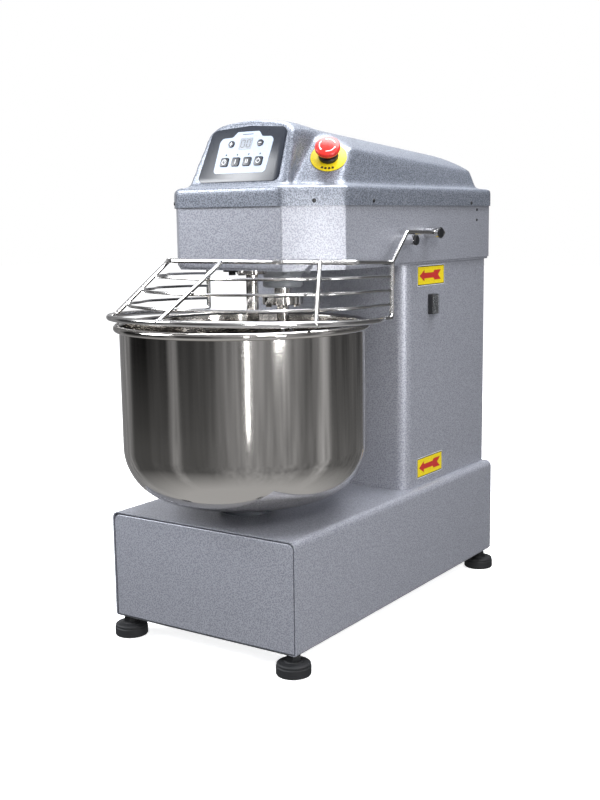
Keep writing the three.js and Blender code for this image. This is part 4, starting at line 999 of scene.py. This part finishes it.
# ---------------------------------------------------------------- bowl
def make_bowl():
    """A spun bowl: thin wall, large bottom radius, and a rim rolled outwards into a bead."""
    wall, roll, corner, flat = 2.0, 6.0, 92.0, (40, 80)
    radius = rim_radius - 2 * roll + wall
    bottom = bowl_low.z
    bead = radius - wall + roll
    under = -180 + math.degrees(math.acos((roll - wall) / roll))
    levels = [rim_top - 150, rim_top - 60]
    profile = [(0, bottom)] + [(r, bottom) for r in flat]
    profile += arc((radius - corner, bottom + corner), corner, -90, 0, 20)
    profile += [(radius, z) for z in levels]
    profile += arc((bead, rim_top - roll), roll, under, 180, 20)
    profile += [(radius - wall, z) for z in reversed(levels)]
    profile += arc((radius - corner, bottom + corner), corner - wall, 0, -90, 20)
    profile += [(r, bottom + wall) for r in reversed(flat)] + [(0, bottom + wall)]
    bowl = moved(lathe(profile, 160), shift(0, bowl_y, 0))
    new_piece("bowl_spinning", bowl, "bowl", "polished_stainless", ["bowl"])


# ---------------------------------------------------------------- hook, bar and housing
# The spiral's outer radius, its bar's radius, its turns and its shank's length.
SWEEP, BAR, TURNS, SHANK = 73.0, 11.0, 1.6, 40.0


def bolt_heads(radius, height, count, circle_radius, level, bevel):
    """Hexagon heads spaced evenly on a circle, the first at 45 degrees."""
    heads = []
    for i in range(count):
        a = math.radians(45 + 360 / count * i)
        head = prism(circle(radius, 6), 0, height, bevel)
        heads.append(moved(head, shift(circle_radius * math.cos(a), circle_radius * math.sin(a), level)))
    return heads


def make_hook():
    """The spiral: a bar wound round the shaft's line, opening below its shank and closing at its tip."""
    low, high = place("spiral_hook")
    sprocket_low, sprocket_high = place("spiral_sprocket")
    spiral_y = (sprocket_low.y + sprocket_high.y) / 2
    flange_top = place("spiral_bearing_housing")[0].z - 15.3
    flange_bottom = flange_top - 15.0
    start = flange_bottom - SHANK
    end = low.z + 0.83 * BAR
    points = [Vector((0, 0, flange_bottom + 1)), Vector((0, 0, flange_bottom - SHANK / 2))]
    steps = 120
    for i in range(1, steps + 1):
        share = i / steps
        angle = -2 * math.pi * TURNS * share
        opening = math.sin(min(1, share / 0.28) * math.pi / 2)
        closing = math.sin(min(1, (1 - share) / 0.2) * math.pi / 2)
        reach = (SWEEP - BAR) * opening * (0.52 + 0.48 * closing)
        level = start + (end - start) * share
        points.append(Vector((reach * math.cos(angle), reach * math.sin(angle), level)))
    hook = rod(points, BAR, sides=24)
    tip = weld(points[-1], BAR)
    shaft = lathe([(0, flange_top - 1), (15, flange_top - 1), (15, high.z), (0, high.z)], 40)
    r = 36.0
    flange = lathe([
        (0, flange_bottom), (r - 1.5, flange_bottom), (r, flange_bottom + 1.5), (r, flange_top - 1.5),
        (r - 1.5, flange_top), (0, flange_top),
    ], 64)
    bolts = bolt_heads(6.0, 5, 4, 25, flange_bottom - 5, 0.8)
    hook = moved(joined(hook, tip, shaft, flange, *bolts), shift(0, spiral_y, 0))
    new_piece("spiral_dough_hook", hook, "spiral", "polished_stainless", ["spiral_hook"])


def make_breaker():
    """The dough divider: a plain round bar with a domed foot, hung from a flange with three screws."""
    low, high = place("breaker_bar")
    flange = (high.x - low.x) / 2
    flange_foot = high.z - 8
    r = 10.5
    profile = [(0, low.z), *arc((r - 6, low.z + 6), 6, -90, 0, 6), (r, flange_foot - 2), (r + 2, flange_foot)]
    profile += [(flange - 1, flange_foot), (flange, flange_foot + 1), (flange, high.z), (0, high.z)]
    parts = [lathe(profile, 48)]
    for degrees in (90, 210, 330):
        a = math.radians(degrees)
        where = shift(19 * math.cos(a), 19 * math.sin(a), flange_foot)
        parts.append(moved(pan_screw(3.2, 2.2), turn(180, "X"), where))
    divider = moved(joined(*parts), shift(0, (low.y + high.y) / 2, 0))
    new_piece("divider_bar", divider, "frame", "polished_stainless", ["breaker_bar"])


def make_housing():
    """The hook's bearing casting: a turned body with a flange under the tray, held by four bolts."""
    low, high = place("spiral_bearing_housing")
    flange = (high.x - low.x) / 2
    tray = place("head_tray")[0].z
    bore, r = 15.6, 35.0
    casting = lathe([
        (bore, low.z), (r - 3, low.z), (r, low.z + 3), (r, low.z + 9), (r - 2, low.z + 11),
        (r - 2, tray - 14), (r + 5, tray - 8), (flange - 1, tray - 8), (flange, tray - 7),
        (flange, tray - 0.4), (r, tray - 0.4),
        (r, high.z), (bore, high.z), (bore, low.z),
    ], 72)
    bolts = bolt_heads(5.5, 4.5, 4, 45, tray - 12.6, 0.7)
    casting = moved(joined(casting, *bolts), shift(0, (low.y + high.y) / 2, 0))
    new_piece("hook_bearing_casting", casting, "frame", "grey_enamel", ["spiral_bearing_housing"])


# ---------------------------------------------------------------- wire guard
# Radii of the bent rods, the hoop and the level wires.
ROD, RING, WIRE = 4.0, 5.0, 2.5
# How far the top bar stands in front of the head, and the arms run on behind their pivots.
PROUD = 17.6
STUB = 17
# The side uprights' place along the top bar's slanting legs.
RIB_SHARE = 0.52
# The guard, like its arms, rises a little towards the front.
tilt = math.tan(math.radians(2.2))
ring_y = bowl_y + 11.3
ring_radius = rim_radius + 13.0
ring_level = rim_top + 6.0
bar_x = head_side + 20.6
bar_y = column_front - 96.0
frame_level = head_bottom + 3.5
guard_front = head_front - PROUD
pivot_y = column_front + 66.0
pivot_z = head_bottom + 50.5
ARM_SLOPE = math.tan(math.radians(1.8))
frame_corner = FRONT_HALF + PROUD * (math.hypot(1, chamfer_slope) - chamfer_slope)
frame_side_y = guard_front + (bar_x - frame_corner) * chamfer_slope
ring_end = math.asin((bar_y - 44.0 - ring_y) / ring_radius)
rib_angle = math.radians(26.3)


def on_ring(angle):
    """A point of the hoop, by its angle from the right."""
    y = ring_y + ring_radius * math.sin(angle)
    return Vector((ring_radius * math.cos(angle), y, ring_level + (ring_y - y) * tilt))


def on_frame(x, y):
    """A point at the level of the top bar, which rises a little towards the front."""
    return Vector((x, y, frame_level + (bar_y - y) * tilt))


def mirrored(point, side=-1):
    """The same point on the other side, or on a given side."""
    return Vector((side * point.x, point.y, point.z))


rib_x = frame_corner + RIB_SHARE * (bar_x - frame_corner)
rib_top = on_frame(rib_x, guard_front + RIB_SHARE * (frame_side_y - guard_front))
rib_foot = on_ring(-rib_angle)


def side_rod(side):
    """One bent rod: from behind the pivot, along the arm, down at the front and in to the hoop's end."""
    points = [
        Vector((bar_x, pivot_y + STUB, pivot_z - STUB * ARM_SLOPE)),
        Vector((bar_x, pivot_y - 110, pivot_z + 110 * ARM_SLOPE)),
        Vector((bar_x, bar_y, frame_level)),
        Vector((bar_x, bar_y, ring_level + (ring_y - bar_y) * tilt)),
        on_ring(ring_end),
    ]
    return rod(bent([mirrored(p, side) for p in points], 9), ROD, sides=16)


def guard_wire(share):
    """A level wire part of the way down, inside the ribs, from one side bar to the other."""
    centre = Vector((0, ring_y, 0))

    def between(high, low):
        fall = (low - high).normalized()
        point = high.lerp(low, share)
        pull = centre - point
        pull.z = 0
        pull.normalize()
        pull = (pull - fall * pull.dot(fall)).normalized()
        return point + pull * (ROD + WIRE)

    foot_level = ring_level + (ring_y - bar_y) * tilt
    half = [Vector((bar_x, bar_y - ROD - WIRE + 1.5, frame_level + (foot_level - frame_level) * share))]
    legs = 5
    for i in range(1, legs + 1):
        high = on_frame(bar_x, bar_y).lerp(rib_top, i / legs)
        high.x = max(high.x, bar_x - max(0, frame_side_y + 20 - high.y))
        low = on_ring(ring_end + (-rib_angle - ring_end) * i / legs)
        half.append(between(rib_top if i == legs else high, low))
    for i in range(1, legs + 1):
        angle = -rib_angle + (-math.pi / 2 + rib_angle) * i / legs
        x = rib_top.x * (1 - i / legs)
        y = guard_front + max(0, x - frame_corner) * chamfer_slope
        half.append(between(on_frame(x, y), on_ring(angle)))
    points = half + [mirrored(p) for p in reversed(half[:-1])]
    return smooth_route(points)


def smooth_route(points, per_leg=6):
    """A smooth route through every point, with rounded corners between them."""
    made = []
    for i in range(len(points) - 1):
        p0 = points[max(i - 1, 0)]
        p1, p2 = points[i], points[i + 1]
        p3 = points[min(i + 2, len(points) - 1)]
        slope = p2 - p0
        bow = 2 * p0 - 5 * p1 + 4 * p2 - p3
        twist = 3 * p1 - p0 - 3 * p2 + p3
        for k in range(per_leg):
            t = k / per_leg
            made.append(0.5 * (2 * p1 + slope * t + bow * t * t + twist * t ** 3))
    made.append(points[-1])
    return made


def make_guard():
    """The lifting guard: top bar and arms, hoop, three uprights and three level wires, on two pivots."""
    slot = "stainless_wire"
    half = [on_frame(bar_x, bar_y), on_frame(bar_x, frame_side_y), on_frame(frame_corner, guard_front)]
    top = rod(bent(half + [mirrored(p) for p in reversed(half)], 24, 10), ROD, sides=16)
    corners = [weld(mirrored(on_frame(bar_x, bar_y), side), ROD * 1.15) for _, side in SIDES]
    top = joined(top, side_rod(1), side_rod(-1), *corners)
    new_piece("guard_top_and_arms", top, "guard", slot, ["guard_frame"])
    steps = 120
    sweep = math.pi + 2 * ring_end
    ring = rod([on_ring(ring_end - sweep * i / steps) for i in range(steps + 1)], RING, sides=20)
    ends = [weld(mirrored(on_ring(ring_end), side), RING) for _, side in SIDES]
    new_piece("guard_hoop", joined(ring, *ends), "guard", slot, ["guard_ring"])
    for name, high, low in (
        ("right", rib_top, rib_foot), ("left", mirrored(rib_top), mirrored(rib_foot)),
        ("middle", on_frame(0, guard_front), on_ring(-math.pi / 2)),
    ):
        rib = joined(rod([high, low], ROD - 0.2, sides=16), weld(high, ROD * 1.2), weld(low, RING * 1.12))
        new_piece(f"guard_upright_{name}", rib, "guard", slot, [f"guard_rib_{name}"])
    for i in (1, 2, 3):
        wire = rod(guard_wire(i / 4), WIRE, sides=12)
        new_piece(f"guard_level_wire_{i}", wire, "guard", slot, [f"guard_wire_{i}"])
    for name, side in SIDES:
        make_pivot(name, side, slot)


def make_pivot(name, side, slot):
    """One side's pivot boss with its cap, the nut on the arm's end, and the pin that the arm rests on."""
    low, high = place(f"guard_pivot_{name}")
    r = 9.0
    end = max(abs(low.x), abs(high.x)) - head_side - GAP
    length = end - 3
    where = sideways(side, head_side + GAP, pivot_y, pivot_z)
    boss = lathe([(0, 0), (r - 0.8, 0), (r, 0.8), (r, length - 0.6), (r - 0.6, length), (0, length)], 40)
    stem = lathe([(0, -14), (6, -14), (6, 0.4), (0, 0.4)], 24)
    boss = moved(joined(boss, stem), where)
    new_piece(f"pivot_boss_{name}", boss, "guard", slot, [f"guard_pivot_{name}"])
    cap = lathe([(0, length), (r + 0.8, length), (r + 0.8, length + 2), (r - 0.6, end), (0, end)], 40)
    new_piece(f"pivot_cap_{name}", moved(cap, where), "guard", "black_plastic")
    stub_end = Vector((side * bar_x, pivot_y + STUB, pivot_z - STUB * ARM_SLOPE))
    nut = moved(prism(circle(7.5, 6), -5, 4, 0.8), frame_of(stub_end, (1, 0, 0), (0, 1, 0)))
    new_piece(f"arm_end_nut_{name}", nut, "guard", slot)

    low, high = place(f"guard_stop_{name}")
    reach = max(abs(low.x), abs(high.x)) - head_side - GAP
    shoulder = reach - 3.4
    where = sideways(side, head_side + GAP, (low.y + high.y) / 2, (low.z + high.z) / 2)
    pin = lathe([(0, 0), (r, 0), (r, reach - 4), (r - 0.6, shoulder), (0, shoulder)], 40)
    new_piece(f"arm_rest_{name}", moved(pin, where), "frame", slot, [f"guard_stop_{name}"])
    cap = lathe([(0, shoulder), (r + 0.3, shoulder), (r + 0.3, reach - 1.2), (r - 1, reach), (0, reach)], 40)
    new_piece(f"arm_rest_cap_{name}", moved(cap, where), "frame", "black_plastic")


# ---------------------------------------------------------------- everything in place
make_base()
make_feet()
make_column()
make_stickers()
make_head()
make_hood()
make_head_screws()
make_panel()
make_keys()
make_stop()
make_switch()
make_bowl()
make_hook()
make_breaker()
make_housing()
make_guard()

slots = {part["node"]: part["material_slot"] for part in frame["record"]["subparts"]}
for name, node_object in frame["nodes"].items():
    if node_object.hide_render:
        continue
    node_object.data.materials.clear()
    node_object.data.materials.append(finishes[slots[name]])


# ---------------------------------------------------------------- floor, light and camera
def make_floor():
    bm = bmesh.new()
    bmesh.ops.create_grid(bm, x_segments=1, y_segments=1, size=14)
    mesh = bpy.data.meshes.new("studio_floor")
    bm.to_mesh(mesh)
    bm.free()
    floor = bpy.data.objects.new("studio_floor", mesh)
    bpy.context.scene.collection.objects.link(floor)
    # Matt white paper: a plain pale ground that takes a soft shadow.
    material = blank("matt_white_paper", {
        "Base Color": srgb("#f6f6f6"), "Roughness": 0.95, "Specular IOR Level": 0.0,
        "Emission Color": (1, 1, 1, 1), "Emission Strength": 0.78,
    })[0]
    mesh.materials.append(material)
    floor.visible_glossy = False
    floor.visible_diffuse = False


def softbox(name, where, aim, wide, tall, power, colour=(1, 1, 1)):
    """A rectangular light at a place in metres, turned towards its aim."""
    data = bpy.data.lights.new(name, "AREA")
    data.shape = "RECTANGLE"
    data.size = wide
    data.size_y = tall
    data.energy = power
    data.color = colour
    light = bpy.data.objects.new(name, data)
    bpy.context.scene.collection.objects.link(light)
    light.location = where
    light.rotation_euler = (Vector(where) - Vector(aim)).to_track_quat("Z", "Y").to_euler()


def around(degrees, distance, height):
    """A place round the machine: 0 degrees in front, turning towards its right side."""
    a = math.radians(degrees)
    return (distance * math.sin(a), -distance * math.cos(a), height)


def make_lights():
    """Boxes for the sides, the chamfer, the tops and the fronts, and a strip for the streak in the bowl."""
    softbox("thin_strip", around(37, 2.6, 1.0), (0, -0.18, 0.5), 0.07, 2.2, 9)
    softbox("high_right", around(54, 2.3, 1.95), (0.05, -0.1, 0.55), 0.6, 0.6, 26)
    softbox("chamfer_glow", around(62, 1.9, 0.55), (0.14, -0.18, 0.69), 0.22, 0.3, 11)
    softbox("overhead", (0.0, 0.5, 2.5), (0, 0.15, 0.4), 2.2, 1.5, 120, (0.95, 0.97, 1.0))
    softbox("front_left", around(-50, 3.0, 2.2), (0, 0, 0.4), 1.2, 1.6, 130, (0.95, 0.97, 1.0))


# The camera's place round the machine, in degrees to the right of its front.
CAMERA_AT = 34.2
# Brightness of the studio round the machine, by degrees to the right of the camera.
SCREENS = (
    (-180, 0.60), (-160, 0.30), (-150, 0.22), (-132, 0.30), (-122, 0.02), (-98, 0.01), (-90, 0.05),
    (-72, 0.03), (-67, 0.30), (-62, 0.30), (-57, 0.05), (-30, 0.07), (-14, 0.26), (0, 0.34), (10, 0.42),
    (26, 0.30), (40, 0.36), (52, 0.28), (60, 0.14), (70, 0.20), (76, 0.5), (84, 0.5), (90, 0.10),
    (120, 0.10), (150, 0.16), (165, 0.30),
)


# What lies above and below: the heights of sight it takes over between, how far it covers, and its colour.
# First the pale floor's haze just below eye level, then the ceiling, then the ground underfoot.
ZONES = (
    (-0.11, -0.21, 0.25, (0.34, 0.34, 0.34, 1)),
    (0.35, 0.95, 1.0, (0.75, 0.75, 0.77, 1)),
    (-0.4, -0.85, 1.0, (0.6, 0.6, 0.6, 1)),
)


def make_studio():
    """White to the camera. To everything else, a dim studio with bright screens and dark gaps between."""
    world = bpy.data.worlds.new("studio")
    bpy.context.scene.world = world
    world.use_nodes = True
    tree = world.node_tree
    tree.nodes.clear()
    sight = add(tree, "ShaderNodeTexCoord").outputs["Generated"]
    split = add(tree, "ShaderNodeSeparateXYZ", {"Vector": sight}).outputs
    ahead = add(tree, "ShaderNodeMath", {0: split["Y"], 1: -1}, operation="MULTIPLY").outputs[0]
    angle = add(tree, "ShaderNodeMath", {0: split["X"], 1: ahead}, operation="ARCTAN2").outputs[0]
    share = add(tree, "ShaderNodeMapRange", {
        "Value": angle, "From Min": -math.pi, "From Max": math.pi,
    }).outputs[0]
    bands = sorted((((CAMERA_AT + a + 180) % 360) / 360, bright) for a, bright in SCREENS)
    tones = [(position, (bright, bright, bright * 1.02, 1)) for position, bright in bands]
    screens = add(tree, "ShaderNodeValToRGB", {"Fac": share}, tones).outputs["Color"]

    # Upright streaks, as from the many things that stand round a mirror-bright bowl.
    round_it = add(tree, "ShaderNodeMath", {0: share, 1: 85.0}, operation="MULTIPLY").outputs[0]
    up_it = add(tree, "ShaderNodeMath", {0: split["Z"], 1: 6.0}, operation="MULTIPLY").outputs[0]
    across = add(tree, "ShaderNodeCombineXYZ", {"X": round_it, "Y": up_it}).outputs[0]
    streaks = add(tree, "ShaderNodeTexNoise", {
        "Vector": across, "Scale": 1.0, "Detail": 3.0, "Roughness": 0.7,
    }).outputs["Fac"]
    strength = add(tree, "ShaderNodeMapRange", {
        "Value": streaks, "From Min": 0.3, "From Max": 0.7, "To Min": 0.35, "To Max": 1.65,
    }).outputs[0]
    mirrored_room = add(tree, "ShaderNodeMix", {
        "Factor": 1.0, 6: screens, 7: strength,
    }, data_type="RGBA", blend_type="MULTIPLY").outputs[2]
    for start, stop, most, colour in ZONES:
        cover = add(tree, "ShaderNodeMapRange", {
            "Value": split["Z"], "From Min": start, "From Max": stop, "To Max": most,
        }).outputs[0]
        zone = add(tree, "ShaderNodeMix", {"Factor": cover, 6: mirrored_room, 7: colour}, data_type="RGBA")
        mirrored_room = zone.outputs[2]

    # Its three parts: what is mirrored, an even fill for matt surfaces, and white behind the machine.
    ray = add(tree, "ShaderNodeLightPath").outputs
    room = add(tree, "ShaderNodeBackground", {"Color": mirrored_room}).outputs[0]
    fill_light = add(tree, "ShaderNodeBackground", {"Color": (0.92, 0.95, 1, 1), "Strength": 0.4}).outputs[0]
    white = add(tree, "ShaderNodeBackground", {"Color": (1, 1, 1, 1)}).outputs[0]
    lit = add(tree, "ShaderNodeMixShader", {"Fac": ray["Is Diffuse Ray"], 1: room, 2: fill_light}).outputs[0]
    seen = add(tree, "ShaderNodeMixShader", {"Fac": ray["Is Camera Ray"], 1: lit, 2: white}).outputs[0]
    add(tree, "ShaderNodeOutputWorld", {"Surface": seen})


def make_camera():
    """A level-headed portrait view from the front right, a little above the bowl's rim."""
    data = bpy.data.cameras.new("camera")
    data.lens = 51.6
    data.sensor_width = 36
    data.sensor_fit = "AUTO"
    camera = bpy.data.objects.new("camera", data)
    bpy.context.scene.collection.objects.link(camera)
    yaw, pitch, roll = math.radians(34.18), math.radians(8.93), math.radians(-0.79)
    eye = Vector((1158.5, -1722.55, 712.8))
    ahead = Vector((-math.sin(yaw) * math.cos(pitch), math.cos(yaw) * math.cos(pitch), -math.sin(pitch)))
    across = Vector((math.cos(yaw), math.sin(yaw), 0))
    up = across.cross(ahead)
    right = across * math.cos(roll) + up * math.sin(roll)
    up = up * math.cos(roll) - across * math.sin(roll)
    facing = Matrix((right, up, -ahead)).transposed().to_4x4()
    camera.matrix_world = Matrix.Translation(eye * MM) @ facing
    bpy.context.scene.camera = camera


make_floor()
make_lights()
make_studio()
make_camera()
bpy.context.scene.view_settings.view_transform = "Standard"
